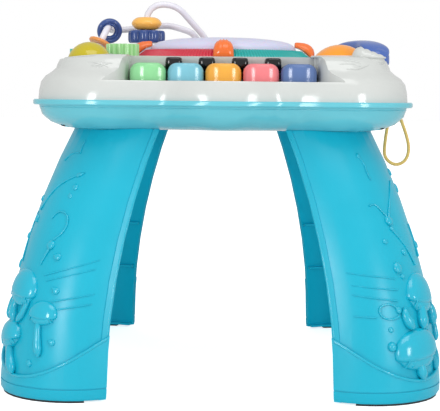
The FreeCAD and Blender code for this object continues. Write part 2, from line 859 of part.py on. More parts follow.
def ring_half(start):
    """Half of the sloping drum ring, from one clamp line to the other."""
    inner = drum_radius + slide_gap + rest_gap
    points = [
        (inner, deck_z), (ring_outer, deck_z), (ring_outer, deck_z + ring_rim),
        (inner + 1.2, deck_z + ring_height), (inner, deck_z + ring_height), (inner, deck_z),
    ]
    wire = Part.makePolygon([vec(r, 0, z) for r, z in points])
    half = Part.Face(wire).revolve(vec(0, 0, 0), vec(0, 0, 1), 180)
    return rotated(half, start)


def dome_profile(radius, crown, wall, skirt, post, foot):
    """Half section of a domed cap with a skirt and a middle post, its rim at height 0."""
    ball = (radius ** 2 + crown ** 2) / (2 * crown)
    half = math.asin(radius / ball)
    inner = radius - wall
    inner_half = math.asin(inner / (ball - wall))
    post_half = math.asin(post / (ball - wall))
    points = [(inner, -skirt), (radius, -skirt)]
    for step in range(dome_steps + 1):
        turn = half * (1 - step / dome_steps)
        points.append((ball * math.sin(turn), crown - ball * (1 - math.cos(turn))))
    points += [(0.0, foot), (post, foot)]
    for step in range(dome_steps + 1):
        turn = post_half + (inner_half - post_half) * step / dome_steps
        points.append(((ball - wall) * math.sin(turn), crown - ball + (ball - wall) * math.cos(turn)))
    return points


def make_drum_pad():
    """Domed drum head with a short skirt and a middle post that works its switch."""
    foot = board_z + board_thick + drum_dome_height - drum_edge_z
    head = lathe(dome_profile(drum_radius, drum_crown, drum_wall, drum_skirt, post_radius, foot))
    head.translate(vec(0, 0, drum_edge_z))
    return head


def make_clamps():
    """Four hooked clamps that hold the ring and lap over the edge of the drum head."""
    base = deck_z
    ring = ring_outer
    tip = drum_radius - 1.0
    wire = Part.Wire([
        Part.makeLine(vec(ring + rest_gap, 0, base), vec(ring + 3.2, 0, base)),
        Part.makeLine(vec(ring + 3.2, 0, base), vec(ring + 5.0, 0, base + 8.0)),
        Part.Arc(vec(ring + 5.0, 0, base + 8.0), vec(ring + 1.0, 0, base + 13.6),
                 vec(tip + 5.0, 0, base + 17.0)).toShape(),
        Part.Arc(vec(tip + 5.0, 0, base + 17.0), vec(tip + 1.2, 0, base + 16.4), vec(tip, 0, base + 14.2)).toShape(),
        Part.makeLine(vec(tip, 0, base + 14.2), vec(tip + 3.0, 0, base + ring_height + 0.8)),
        Part.makeLine(vec(tip + 3.0, 0, base + ring_height + 0.8), vec(ring + rest_gap, 0, base + ring_rim + 0.6)),
        Part.makeLine(vec(ring + rest_gap, 0, base + ring_rim + 0.6), vec(ring + rest_gap, 0, base)),
    ])
    clamp = Part.Face(wire).extrude(vec(0, clamp_width, 0))
    clamp.translate(vec(0, -clamp_width / 2, 0))
    groove = Part.makeCylinder(clamp_groove, 60, vec(tip + 7.0, 0, base + 19.6), vec(1, 0, -0.18))
    clamp = clamp.cut(groove)
    return Part.makeCompound(each_corner(clamp))


def round_button(radius, crown):
    """Domed push button drawn round the origin, with its rim at the deck's surface."""
    foot = button_dome_height - button_depth
    return lathe(dome_profile(radius, crown, button_wall, button_skirt, post_radius, foot))


def button_dome():
    return rubber_dome(0, 0, -button_depth, button_dome_height - button_depth - rest_gap)


def gear_centres():
    """Centres of the green, idler and teal gears."""
    green = (green_x, green_y)
    idler = polar(green, gear_distance, idler_bearing)
    teal = polar((idler.x, idler.y), gear_distance, teal_bearing)
    return green, (idler.x, idler.y), (teal.x, teal.y)


def gear(centre, z, thick, phase):
    """Spur gear with straight-sided teeth; a tooth points along phase."""
    step = 360.0 / tooth_count
    root = gear_pitch_radius - tooth_in
    tip = gear_pitch_radius + tooth_out
    foot_half = math.degrees(tooth_foot / 2 / root)
    tip_half = math.degrees(tooth_tip / 2 / tip)
    points = []
    for index in range(tooth_count):
        middle = phase + step * index
        points.append(polar(centre, root, middle - foot_half, z))
        points.append(polar(centre, tip, middle - tip_half, z))
        points.append(polar(centre, tip, middle + tip_half, z))
        points.append(polar(centre, root, middle + foot_half, z))
    points.append(points[0])
    body = prism(Part.makePolygon(points), thick)
    bore = rod(centre[0], centre[1], z - 1, axle_radius + rest_gap, thick + 2)
    sink = rod(centre[0], centre[1], z + thick - axle_head_thick - 1.0, axle_head_radius + rest_gap, thick)
    return body.cut([bore, sink])


def gear_levels():
    """Underside of each gear, over the deck as it falls away to the left."""
    green, idler, teal = gear_centres()
    return (deck_z + gear_lift, deck_z + gear_lift, deck_z - fall_depth(teal[0] + 3) + gear_disc_thick + gear_lift)


def make_gears():
    green, idler, teal = gear_centres()
    half_step = 180.0 / tooth_count
    levels = gear_levels()
    first = gear(green, levels[0], green_thick, idler_bearing)
    idler_phase = idler_bearing + 180 + half_step
    second = gear(idler, levels[1], small_gear_thick, idler_phase)
    offset = (teal_bearing - idler_phase) % (2 * half_step)
    third = gear(teal, levels[2], small_gear_thick, teal_bearing + 180 + half_step + offset)
    return first, second, third


def make_gear_axles():
    pins = []
    for centre, level, thick in zip(gear_centres(), gear_levels(), (green_thick, small_gear_thick, small_gear_thick)):
        foot = deck_z - fall_depth(centre[0]) - 1.0
        head = level + thick - axle_head_thick - 0.5
        top = head + axle_head_thick
        pin = lathe([(0.0, foot), (axle_radius, foot), (axle_radius, head), (axle_head_radius, head),
                     (axle_head_radius, top), (0.0, top)], *centre)
        pins.append(pin.cut(deck_outer()))
    return pins


def make_gear_disc():
    teal = gear_centres()[2]
    top = gear_levels()[2] - gear_lift
    low = top - gear_disc_thick - gear_disc_radius * math.tan(math.radians(left_fall_angle)) - 1.0
    disc = lathe([(axle_radius + 0.1, low), (gear_disc_radius, low), (gear_disc_radius, top), (axle_radius + 0.1, top)],
                 *teal)
    return disc.cut(deck_outer())


def bent_path(points, bends):
    """Straight runs joined by tangent arcs of the given radii."""
    corners = [vec(*p) for p in points]
    edges = []
    start = corners[0]
    for index, radius in enumerate(bends):
        here = corners[index + 1]
        arrive = (here - corners[index]).normalize()
        leave = (corners[index + 2] - here).normalize()
        turn = arrive.getAngle(leave)
        reach = radius * math.tan(turn / 2)
        first = here - arrive * reach
        last = here + leave * reach
        inward = (leave - arrive).normalize()
        centre = here + inward * (radius / math.cos(turn / 2))
        middle = centre - inward * radius
        edges.append(Part.LineSegment(start, first).toShape())
        edges.append(Part.Arc(first, middle, last).toShape())
        start = last
    edges.append(Part.LineSegment(start, corners[-1]).toShape())
    return Part.Wire(edges)


def round_bar(points, bends, radius):
    path = bent_path(points, bends)
    way = vec(*points[1]) - vec(*points[0])
    ring = Part.Wire(Part.makeCircle(radius, vec(*points[0]), way))
    solid = path.makePipeShell([ring], True, False)
    return solid, path.Length


def many_sided_bar(points, bends, radius):
    """Bar along straight runs and bends, each bend as a few short runs, with a many-sided section."""
    path = bent_path(points, bends)
    places = []
    for edge in path.Edges:
        steps = max(1, round(edge.Length / bar_step)) if edge.Curve.TypeId == "Part::GeomCircle" else 1
        places += edge.discretize(steps + 1)[(1 if places else 0):]
    normal = vec(0, 1, 0)
    rings = []
    for index, place in enumerate(places):
        ahead = places[min(index + 1, len(places) - 1)] - place
        behind = place - places[max(index - 1, 0)]
        way = (ahead.normalize() if ahead.Length > 0 else ahead) + (behind.normalize() if behind.Length > 0 else behind)
        way = way.normalize()
        normal = (normal - way * normal.dot(way)).normalize()
        other = way.cross(normal)
        ring = []
        for side in range(bar_sides):
            turn = 2 * math.pi * side / bar_sides
            ring.append(place + normal * (radius * math.cos(turn)) + other * (radius * math.sin(turn)))
        rings.append(Part.makePolygon(ring + ring[:1]))
    return Part.makeLoft(rings, True, True)


def make_sockets():
    """Collars that hold the ends of the two bars; the one under the beads is taller."""
    collars = []
    for route in (arch_route, low_route):
        for point, near in ((route[0], route[1]), (route[-1], route[-2])):
            tall = point == arch_route[0]
            foot = deck_z - bar_depth / 3
            base = tall_socket_base if tall else socket_base
            top = tall_socket_top if tall else socket_top
            height = (tall_socket_height if tall else socket_height) + bar_depth / 3
            way = (vec(*near) - vec(*point)).normalize()
            start = vec(*point) + way * ((foot - point[2]) / way.z)
            if point == low_route[0]:
                bead = thin_bead_frame()[0]
                height = (bead - start).Length - thin_bead_thick / 2 - bead_stack_gap
            hole = bar_radius + 0.05
            cone = lathe([(hole, 0.0), (base, 0.0), (top, height), (hole, height)])
            cone.Placement = FreeCAD.Placement(start, FreeCAD.Rotation(vec(0, 0, 1), way))
            collars.append(cone.cut(deck_outer()))
    return Part.makeCompound(collars)


def bead_profile(hole, radius, thick):
    """Half section of a bead with a rounded rim, its middle at height 0."""
    r = thick / 2
    points = [(hole, -r)]
    for step in range(2 * dome_steps + 1):
        turn = math.pi * (step / (2 * dome_steps) - 0.5)
        points.append((radius - r + r * math.cos(turn), r * math.sin(turn)))
    return points + [(hole, r)]


def make_orange_bead():
    base = deck_z + tall_socket_height + flower_thick + 2 * bead_stack_gap
    bead = lathe(bead_profile(bar_radius + bead_gap, disc_bead_radius, disc_bead_thick))
    bead.translate(vec(arch_x, arch_y, base + disc_bead_thick / 2))
    return bead


def make_flower_bead():
    """Bead with rounded petals round a hub."""
    base = deck_z + tall_socket_height + bead_stack_gap
    half = math.radians(180.0 / flower_lobes)
    ring = flower_radius / (1 + petal_share * math.sin(half))
    petal = flower_radius - ring
    reach = 180 - math.degrees(math.acos(ring * math.sin(half) / petal)) - (90 - 180.0 / flower_lobes)
    edges = []
    for index in range(flower_lobes):
        angle = 360.0 / flower_lobes * index
        place = polar((0, 0), ring, angle)
        for step in range(petal_steps):
            turns = [angle - reach + 2 * reach * (step + k) / petal_steps for k in (0, 1)]
            edges.append(Part.makeLine(polar(place, petal, turns[0]), polar(place, petal, turns[1])))
    body = prism(Part.Wire(edges), flower_thick)
    body = body.cut(rod(0, 0, -1, bar_radius + bead_gap, flower_thick + 2))
    body.translate(vec(arch_x, arch_y, base))
    return body


def make_ring_bead():
    """Open ring that hangs on the low bar."""
    hang = ring_hole - bar_radius - bead_stack_gap
    centre = ring_bead_radius - ring_bead_section
    points = []
    for step in range(2 * dome_steps):
        turn = math.pi * (step + 0.5) / dome_steps
        points.append((centre + ring_bead_section * math.cos(turn), ring_bead_section * math.sin(turn)))
    ring = lathe(points)
    ring.rotate(vec(0, 0, 0), vec(1, 0, 0), 90)
    ring.translate(vec(low_route[1][0], ring_bead_y, low_bar_z - hang))
    return ring


def thin_bead_frame():
    """Middle of the thin bead and the direction of the bar there."""
    foot = vec(*low_route[0])
    way = (vec(*low_route[1]) - foot).normalize()
    return foot + way * ((deck_z + 16.6 - foot.z) / way.z), way


def make_thin_bead():
    middle, way = thin_bead_frame()
    bead = lathe(bead_profile(bar_radius + bead_gap, thin_bead_radius, thin_bead_thick))
    bead.Placement = FreeCAD.Placement(middle, FreeCAD.Rotation(vec(0, 0, 1), way))
    return bead


def handset_axis():
    """Middle of the handset and its direction in plan, in degrees."""
    dx = handset_b[0] - handset_a[0]
    dy = handset_b[1] - handset_a[1]
    middle = ((handset_a[0] + handset_b[0]) / 2, (handset_a[1] + handset_b[1]) / 2)
    return middle, math.degrees(math.atan2(dy, dx)), math.hypot(dx, dy)


def handset_section(offset, width, low, high):
    """Rounded cross-section of the handset's arched grip, square to its length."""
    r = min(width, high - low) / 2.6
    corners = ((width / 2 - r, high - r, 0), (r - width / 2, high - r, 90),
               (r - width / 2, low + r, 180), (width / 2 - r, low + r, 270))
    points = []
    for y, z, start in corners:
        for turn in (start, start + 30, start + 60, start + 90):
            points.append(vec(offset, y + r * math.cos(math.radians(turn)), z + r * math.sin(math.radians(turn))))
    return Part.makePolygon(points + points[:1])


def make_handset():
    """Toy receiver: arched grip with a round cup at each end."""
    middle, heading, span = handset_axis()
    half = span / 2
    top = deck_z + handset_top_rise
    cup_top = cup_floor + cup_height
    stations = []
    for share in [step / 3 - 1 for step in range(7)]:
        drop = 7.5 * share ** 2
        width = grip_width + 5.5 * share ** 2
        stations.append(handset_section(share * half, width, top - handset_thick - drop, top - drop))
    grip = Part.makeLoft(stations, True, True)
    body = [grip]
    for share in (-1, 1):
        body.append(lathe([(0.0, cup_floor + cup_mouth), (cup_radius - 3, cup_floor + cup_mouth),
                           (cup_radius - 3, cup_floor), (cup_radius, cup_floor), (cup_radius, cup_top),
                           (0.85 * cup_radius, cup_top + 0.55 * cup_crown), (0.5 * cup_radius, cup_top + 0.9 * cup_crown),
                           (0.0, cup_top + cup_crown)], share * half, 0))
    shape = body[0].fuse(body[1:])
    shape.rotate(vec(0, 0, 0), vec(0, 0, 1), heading)
    shape.translate(vec(middle[0], middle[1], 0))
    return shape


def make_cord_tail():
    """End of the cord inside the table, fast to the handset."""
    top = cup_floor + cup_mouth
    return rod(handset_a[0], handset_a[1], top - tail_length, cord_radius, tail_length)


def cord_bends():
    """Arc radius at each corner of the cord, as large as its two runs allow."""
    points = [vec(*p) for p in cord_route]
    radii = []
    for before, here, after in zip(points, points[1:], points[2:]):
        arrive = here - before
        leave = after - here
        turn = arrive.getAngle(leave)
        radii.append(cord_bend_share * min(arrive.Length, leave.Length) / math.tan(turn / 2))
    return radii


def make_cord():
    bends = cord_bends()
    print("cord radii", [round(b, 1) for b in bends])
    solid, length = round_bar(cord_route, bends, cord_radius)
    print("cord length", round(length, 1), "volume ratio",
          round(solid.Volume / (math.pi * cord_radius ** 2 * length), 4))
    return solid


def make_screws():
    screws = []
    seat = tray_z + boss_join - screw_seat
    for sx in (-1, 1):
        for sy in (-1, 1):
            low = seat - screw_head
            top = seat + screw_length
            screw = lathe([(0.0, low), (screw_head_radius, low), (screw_head_radius, seat), (screw_radius, seat),
                           (screw_radius, top), (0.0, top)], sx * screw_x, sy * screw_y)
            slot = block((sx * screw_x - 2, sy * screw_y - 0.4, low - 1),
                         (sx * screw_x + 2, sy * screw_y + 0.4, low + 1))
            screws.append(screw.cut(slot))
    return Part.makeCompound(screws)


def make_battery_door():
    half, front, back = door_span()
    door = block((-half, front, tray_z), (half, back, tray_z + door_thick))
    upright = [e for e in door.Edges if abs(e.Vertexes[0].Z - e.Vertexes[-1].Z) > door_thick / 2]
    door = door.makeFillet(2.0, upright)
    screw_place = back - door_tail / 2
    sink = rod(0, screw_place, tray_z - 1, screw_head_radius + rest_gap, 1 + door_thick - 1.0)
    hole = rod(0, screw_place, tray_z, screw_radius + rest_gap, door_thick + 1)
    return door.cut([sink, hole])


def make_door_screw():
    back = door_span()[2]
    place = back - door_tail / 2
    head = rod(0, place, tray_z + 0.1, screw_head_radius, door_thick - 1.1)
    shank = rod(0, place, tray_z + door_thick - 1.0, screw_radius, 9)
    return head.fuse(shank)


def make_batteries():
    cells = []
    middle = tray_z + door_thick + rest_gap + cell_play + cell_radius
    for index in (-1, 0, 1):
        side = -1 if index == 0 else 1
        body = cell_length - cell_tip
        cell = lathe([(0.0, 0.0), (cell_radius, 0.0), (cell_radius, body), (2.5, body), (2.5, cell_length),
                      (0.0, cell_length)])
        start = vec(index * cell_pitch, -side * cell_length / 2, middle)
        cell.Placement = FreeCAD.Placement(start, FreeCAD.Rotation(vec(0, 0, 1), vec(0, side, 0)))
        cells.append(cell)
    return Part.makeCompound(cells)


def make_contacts():
    plates = []
    end = cell_length / 2 + cell_play
    low = tray_z + door_thick + rest_gap + cell_play + 2
    high = low + 2 * cell_radius - 4
    for side in (-1, 1):
        for index in (-1, 0, 1):
            x = index * cell_pitch
            y = side * end
            plates.append(block((x - 4, min(y, y + side * contact_thick), low), (x + 4, max(y, y + side * contact_thick), high)))
            middle = (low + high) / 2
            reach = y - side * (cell_play - 0.05)
            plates[-1] = plates[-1].fuse(block((x - 1.5, min(y, reach), middle - 1.5), (x + 1.5, max(y, reach), middle + 1.5)))
    return Part.makeCompound(plates)


def make_speaker():
    base = floor_top
    return lathe([
        (speaker_radius, base), (speaker_radius, base + 2), (speaker_radius - 4, base + 3),
        (15, base + 8), (15, base + speaker_height), (0.0, base + speaker_height),
        (0.0, base + 4), (7, base + 4), (speaker_radius - 5, base + 0.8), (speaker_radius - 5, base),
    ], 0.0, speaker_y)


def make_switch_knob():
    x = switch_x - switch_travel / 2
    half = switch_stem / 2
    stem = block((x - half, -half, tray_z - 1.6), (x + half, half, floor_top + 2.4))
    plate = block((x - half - switch_travel, -half - 2, floor_top + rest_gap),
                  (x + half + switch_travel, half + 2, floor_top + 1.6))
    return stem.fuse(plate)


def main():
    save("top_shell", make_top_shell())
    save("bottom_shell", make_bottom_shell())
    leg = make_leg()
    for quarter, name in enumerate(leg_names()):
        save(name, rotated(leg, 90 * quarter))
    save("foot_pads", make_foot_pads())
    save("shell_screws", make_screws())
    for x, name in zip(key_centres(), ("green", "blue", "yellow", "coral", "navy")):
        save("key_" + name, make_key(x))
    for dome, name in zip(make_key_domes(), ("green", "blue", "yellow", "coral", "navy")):
        save("key_dome_" + name, dome)
    save("black_keys", make_black_keys())
    save("key_shaft", make_key_shaft())
    save("key_board", make_key_board())
    save("main_board", make_main_board())
    save("drum_ring_red", ring_half(90))
    save("drum_ring_teal", ring_half(-90))
    save("drum_pad", make_drum_pad())
    save("drum_clamps", make_clamps())
    save("drum_dome", rubber_dome(0, 0, board_z + board_thick, board_z + board_thick + drum_dome_height - rest_gap))
    save("yellow_button", yellow_place(round_button(yellow_radius, yellow_crown)))
    save("yellow_button_dome", yellow_place(button_dome()))
    save("orange_button", orange_place(round_button(orange_radius, orange_crown)))
    save("orange_button_dome", orange_place(button_dome()))
    green, idler, teal = make_gears()
    save("green_gear", green)
    save("idler_gear", idler)
    save("teal_gear", teal)
    save("gear_axles", Part.makeCompound(make_gear_axles()))
    save("gear_disc", make_gear_disc())
    save("arch_bar", many_sided_bar(arch_route, arch_bends, bar_radius))
    save("low_bar", many_sided_bar(low_route, low_bends, bar_radius))
    save("bar_sockets", make_sockets())
    save("orange_bead", make_orange_bead())
    save("flower_bead", make_flower_bead())
    save("ring_bead", make_ring_bead())
    save("thin_bead", make_thin_bead())
    save("handset", make_handset())
    save("handset_cord_tail", make_cord_tail())
    save("cord_loop", make_cord())
    save("cord_grommets", make_grommets())
    save("battery_door", make_battery_door())
    save("battery_door_screw", make_door_screw())
    save("batteries", make_batteries())
    save("battery_contacts", make_contacts())
    save("speaker", make_speaker())
    save("power_switch_knob", make_switch_knob())


main()
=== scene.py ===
import math

import bmesh
import bpy
from mathutils.bvhtree import BVHTree
from mathutils import Matrix, Vector


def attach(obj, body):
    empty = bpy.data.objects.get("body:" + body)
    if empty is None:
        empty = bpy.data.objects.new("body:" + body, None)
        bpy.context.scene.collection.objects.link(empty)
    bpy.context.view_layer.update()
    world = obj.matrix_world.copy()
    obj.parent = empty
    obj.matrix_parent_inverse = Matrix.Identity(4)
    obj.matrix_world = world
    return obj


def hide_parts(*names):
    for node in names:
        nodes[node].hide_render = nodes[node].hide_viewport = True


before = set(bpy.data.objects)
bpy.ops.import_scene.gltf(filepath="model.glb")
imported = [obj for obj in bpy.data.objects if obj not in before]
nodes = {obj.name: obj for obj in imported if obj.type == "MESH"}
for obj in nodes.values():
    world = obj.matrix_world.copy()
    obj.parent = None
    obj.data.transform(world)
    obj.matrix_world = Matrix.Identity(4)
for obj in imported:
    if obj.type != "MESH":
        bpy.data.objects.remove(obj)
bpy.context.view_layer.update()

MM = 0.001

# The table's own sizes, in millimetres, as they are in the CAD model
LEG_HEIGHT = 243.5
FOOT_CENTRE = 137.0
HEAD_CENTRE = 87.5
FOOT_RADIUS = 67.5
HEAD_RADIUS = 55.5
DECK_TOP = 313.0
BOOT_RISE = 2.5
BOOT_LOW = 21.5
BOOT_SCOOP = 76.0

# Camera, from the photograph's perspective
CAMERA_BACK = 1.380
CAMERA_HEIGHT = 0.2788
CAMERA_ASIDE = -0.0018
CAMERA_PITCH = 4.84
CAMERA_ROLL = 0.6
CAMERA_LENS = 109.2

# Light and floor; the reach of the floor is in metres
ROOM_LIGHT = 0.68
FLOOR_GLOW = 0.72
FLOOR_REACH = 12.0
LIGHT_TARGET = (0.0, 0.0, 0.25)

# Route of the hanging cord loop, in metres
CORD_ROUTE = [
    (0.1702, -0.0020, 0.2475),
    (0.1666, -0.0015, 0.2240),
    (0.1686, -0.0012, 0.2115),
    (0.1806, 0.0000, 0.2048),
    (0.1923, 0.0010, 0.2123),
    (0.1932, 0.0018, 0.2320),
    (0.1824, 0.0020, 0.2568),
]
CORD_DIAMETER = 0.0034


# Materials

# Sizes of the surface patterns, in millimetres
FLOW_MOTTLE = 55.0
HANDLING_WEAR = 14.0
ORANGE_PEEL = 3.0
PEEL_DEPTH = 0.006
TURNING_MARKS = 0.6
RUBBER_GRIT = 0.5
RUBBER_CLOUD = 12.0
GRIT_DEPTH = 0.05


def srgb(code):
    """Linear colour for an sRGB hex value."""
    values = [int(code[i:i + 2], 16) / 255 for i in (1, 3, 5)]
    return [v / 12.92 if v <= 0.04045 else ((v + 0.055) / 1.055) ** 2.4 for v in values] + [1.0]


def add_node(tree, kind, settings=None, links=None, **inputs):
    """Adds a node, sets its properties and inputs, and links {input: output socket} into it."""
    node = tree.nodes.new(kind)
    for key, value in (settings or {}).items():
        setattr(node, key, value)
    for key, value in inputs.items():
        node.inputs[key.replace("_", " ")].default_value = value
    for key, socket in (links or {}).items():
        tree.links.new(socket, node.inputs[key])
    return node


def per_mm(size):
    """Texture scale at which one feature is about this many millimetres across."""
    return 1.0 / (size * MM)


def new_material(name):
    material = bpy.data.materials.new(name)
    material.use_nodes = True
    tree = material.node_tree
    shader = tree.nodes["Principled BSDF"]
    place = add_node(tree, "ShaderNodeTexCoord").outputs["Object"]
    return material, tree, shader, place


def moulded_abs(name, colour, roughness=0.2, specular=0.5, mottle=0.96, rounding_mm=0.0, crown=None):
    """Glossy injection-moulded ABS: one even colour with a faint flow mottle, slight changes of
    gloss from handling and a soft orange-peel skin that breaks up the lights' reflections."""
    material, tree, shader, place = new_material(name)
    shader.inputs["IOR"].default_value = 1.54
    shader.inputs["Specular IOR Level"].default_value = specular
    flow = add_node(tree, "ShaderNodeTexNoise", links={"Vector": place},
                    Scale=per_mm(FLOW_MOTTLE), Detail=3.0)
    ramp = add_node(tree, "ShaderNodeValToRGB", links={"Fac": flow.outputs["Fac"]})
    ramp.color_ramp.elements[0].position = 0.3
    ramp.color_ramp.elements[1].position = 0.7
    base = srgb(colour)
    ramp.color_ramp.elements[0].color = [c * mottle for c in base[:3]] + [1.0]
    ramp.color_ramp.elements[1].color = base
    tree.links.new(ramp.outputs["Color"], shader.inputs["Base Color"])
    wear = add_node(tree, "ShaderNodeTexNoise", links={"Vector": place},
                    Scale=per_mm(HANDLING_WEAR), Detail=4.0)
    gloss = add_node(tree, "ShaderNodeMapRange", links={"Value": wear.outputs["Fac"]},
                     From_Min=0.3, From_Max=0.7, To_Min=roughness - 0.02, To_Max=roughness + 0.04)
    tree.links.new(gloss.outputs["Result"], shader.inputs["Roughness"])
    peel = add_node(tree, "ShaderNodeTexNoise", links={"Vector": place},
                    Scale=per_mm(ORANGE_PEEL), Detail=1.0)
    bump = add_node(tree, "ShaderNodeBump", links={"Height": peel.outputs["Fac"]},
                    Strength=0.5, Distance=PEEL_DEPTH * MM)
    if crown:
        curve_over_width(tree, place, crown, bump)
    if rounding_mm:
        edge = add_node(tree, "ShaderNodeBevel", {"samples": 6}, Radius=rounding_mm * MM)
        last = bump
        while last.inputs["Normal"].is_linked:
            last = last.inputs["Normal"].links[0].from_node
        tree.links.new(edge.outputs["Normal"], last.inputs["Normal"])
    tree.links.new(bump.outputs["Normal"], shader.inputs["Normal"])
    return material


def curve_over_width(tree, place, crown, bump):
    """Shades a front as gently crowned round the middle (x, z) in crown, with its two radii."""
    middle_x, middle_z, radius_x, radius_z = [value * MM for value in crown]
    apart = add_node(tree, "ShaderNodeSeparateXYZ", links={"Vector": place})
    terms = []
    for axis, middle, radius in (("X", middle_x, radius_x), ("Z", middle_z, radius_z)):
        shift = add_node(tree, "ShaderNodeMath", {"operation": "SUBTRACT"}, {0: apart.outputs[axis]})
        shift.inputs[1].default_value = middle
        square = add_node(tree, "ShaderNodeMath", {"operation": "MULTIPLY"},
                          {0: shift.outputs[0], 1: shift.outputs[0]})
        scale = add_node(tree, "ShaderNodeMath", {"operation": "MULTIPLY"}, {0: square.outputs[0]})
        scale.inputs[1].default_value = -0.5 / radius
        terms.append(scale.outputs[0])
    height = add_node(tree, "ShaderNodeMath", {"operation": "ADD"}, {0: terms[0], 1: terms[1]})
    swell = add_node(tree, "ShaderNodeBump", links={"Height": height.outputs[0]},
                     Strength=1.0, Distance=1.0)
    tree.links.new(swell.outputs["Normal"], bump.inputs["Normal"])


def pearl_plastic(name, colour):
    """Pearlescent coated bar: pale lavender with a soft clear coat."""
    material = moulded_abs(name, colour, roughness=0.25)
    shader = material.node_tree.nodes["Principled BSDF"]
    shader.inputs["Coat Weight"].default_value = 0.4
    shader.inputs["Coat Roughness"].default_value = 0.12
    return material


def brushed_steel(name):
    """Turned steel of screws and shaft: grey metal with fine turning marks."""
    material, tree, shader, place = new_material(name)
    shader.inputs["Metallic"].default_value = 1.0
    marks = add_node(tree, "ShaderNodeTexNoise", links={"Vector": place},
                     Scale=per_mm(TURNING_MARKS), Detail=6.0)
    ramp = add_node(tree, "ShaderNodeValToRGB", links={"Fac": marks.outputs["Fac"]})
    ramp.color_ramp.elements[0].color = srgb("#9A9DA1")
    ramp.color_ramp.elements[1].color = srgb("#C9CCD0")
    tree.links.new(ramp.outputs["Color"], shader.inputs["Base Color"])
    gloss = add_node(tree, "ShaderNodeMapRange", links={"Value": marks.outputs["Fac"]},
                     To_Min=0.25, To_Max=0.45)
    tree.links.new(gloss.outputs["Result"], shader.inputs["Roughness"])
    return material


def soft_rubber(name, colour, roughness=0.75):
    """Moulded rubber or silicone: matt, with a fine gritty skin of about 0.5 mm."""
    material, tree, shader, place = new_material(name)
    grit = add_node(tree, "ShaderNodeTexNoise", links={"Vector": place},
                    Scale=per_mm(RUBBER_GRIT), Detail=4.0)
    cloud = add_node(tree, "ShaderNodeTexNoise", links={"Vector": place},
                     Scale=per_mm(RUBBER_CLOUD), Detail=3.0)
    ramp = add_node(tree, "ShaderNodeValToRGB", links={"Fac": cloud.outputs["Fac"]})
    base = srgb(colour)
    ramp.color_ramp.elements[0].color = [c * 0.9 for c in base[:3]] + [1.0]
    ramp.color_ramp.elements[1].color = base
    tree.links.new(ramp.outputs["Color"], shader.inputs["Base Color"])
    gloss = add_node(tree, "ShaderNodeMapRange", links={"Value": grit.outputs["Fac"]},
                     To_Min=roughness - 0.08, To_Max=roughness + 0.08)
    tree.links.new(gloss.outputs["Result"], shader.inputs["Roughness"])
    bump = add_node(tree, "ShaderNodeBump", links={"Height": grit.outputs["Fac"]},
                    Strength=0.5, Distance=GRIT_DEPTH * MM)
    tree.links.new(bump.outputs["Normal"], shader.inputs["Normal"])
    return material


def drum_skin():
    """Drum head of satin polypropylene: milky lavender, softer shine than the ABS round it."""
    material = moulded_abs("satin_drum_head", "#D3D3EC", roughness=0.34)
    shader = material.node_tree.nodes["Principled BSDF"]
    shader.inputs["Subsurface Weight"].default_value = 0.15
    shader.inputs["Subsurface Scale"].default_value = 0.004
    return material


# Middle height and pitch of the keys, and how strongly their fronts look crowned
KEY_MIDDLE = 295.0
KEY_PITCH = 34.6
KEY_CROWN = (25.0, 60.0)
KEY_ROUNDING = 3.2


def key_plastic(name, colour, keys_along):
    """Key cap: softly rounded edges and a crowned front, counted in keys from the middle one."""
    crown = (keys_along * KEY_PITCH, KEY_MIDDLE, *KEY_CROWN)
    return moulded_abs(name, colour, roughness=0.13, rounding_mm=KEY_ROUNDING, crown=crown)


leg_plastic = moulded_abs("turquoise_leg_abs", "#10B2CD", roughness=0.3, specular=0.36)
# Painted light and shade: the rear legs are the same plastic as the front ones, in a copy whose tone and
# duller shine are set for how the light falls on them
shaded_rear_leg_copy = moulded_abs("shaded_leg_abs", "#04BCD9", roughness=0.42, specular=0.14)
relief_plastic = moulded_abs("polished_relief_abs", "#10B2CD", roughness=0.15, specular=0.6)
tray_plastic = moulded_abs("pale_turquoise_tray_abs", "#66C4D3", roughness=0.15)
deck_plastic = moulded_abs("white_deck_abs", "#CDD0CD", roughness=0.13, mottle=0.985)
steel = brushed_steel("turned_steel")
foot_rubber = soft_rubber("black_foot_rubber", "#2B2B2E")
silicone = soft_rubber("clear_silicone", "#DADAD6", 0.5)
board_laminate = moulded_abs("green_board_laminate", "#2F6B45", roughness=0.5)
# Dark plastic of the speaker; also used for the painted shade of the screw recesses on the tray
dark_plastic = moulded_abs("dark_speaker_plastic", "#3A3C40", roughness=0.55)
cell_jacket = moulded_abs("cell_jacket", "#3C4A58", roughness=0.35)
black_key_plastic = moulded_abs("black_key_abs", "#101114", roughness=0.1)
bar_coat = pearl_plastic("pearl_bar_coat", "#EBEAF4")
cord_rubber = soft_rubber("yellow_cord_rubber", "#F0CD74", 0.45)
bead_blue = moulded_abs("blue_bead_abs", "#34508F", roughness=0.12)
clamp_plastic = moulded_abs("orange_clamp_abs", "#F5762F", roughness=0.15)
handset_plastic = moulded_abs("blue_handset_abs", "#4768B4", roughness=0.14)
skin = drum_skin()

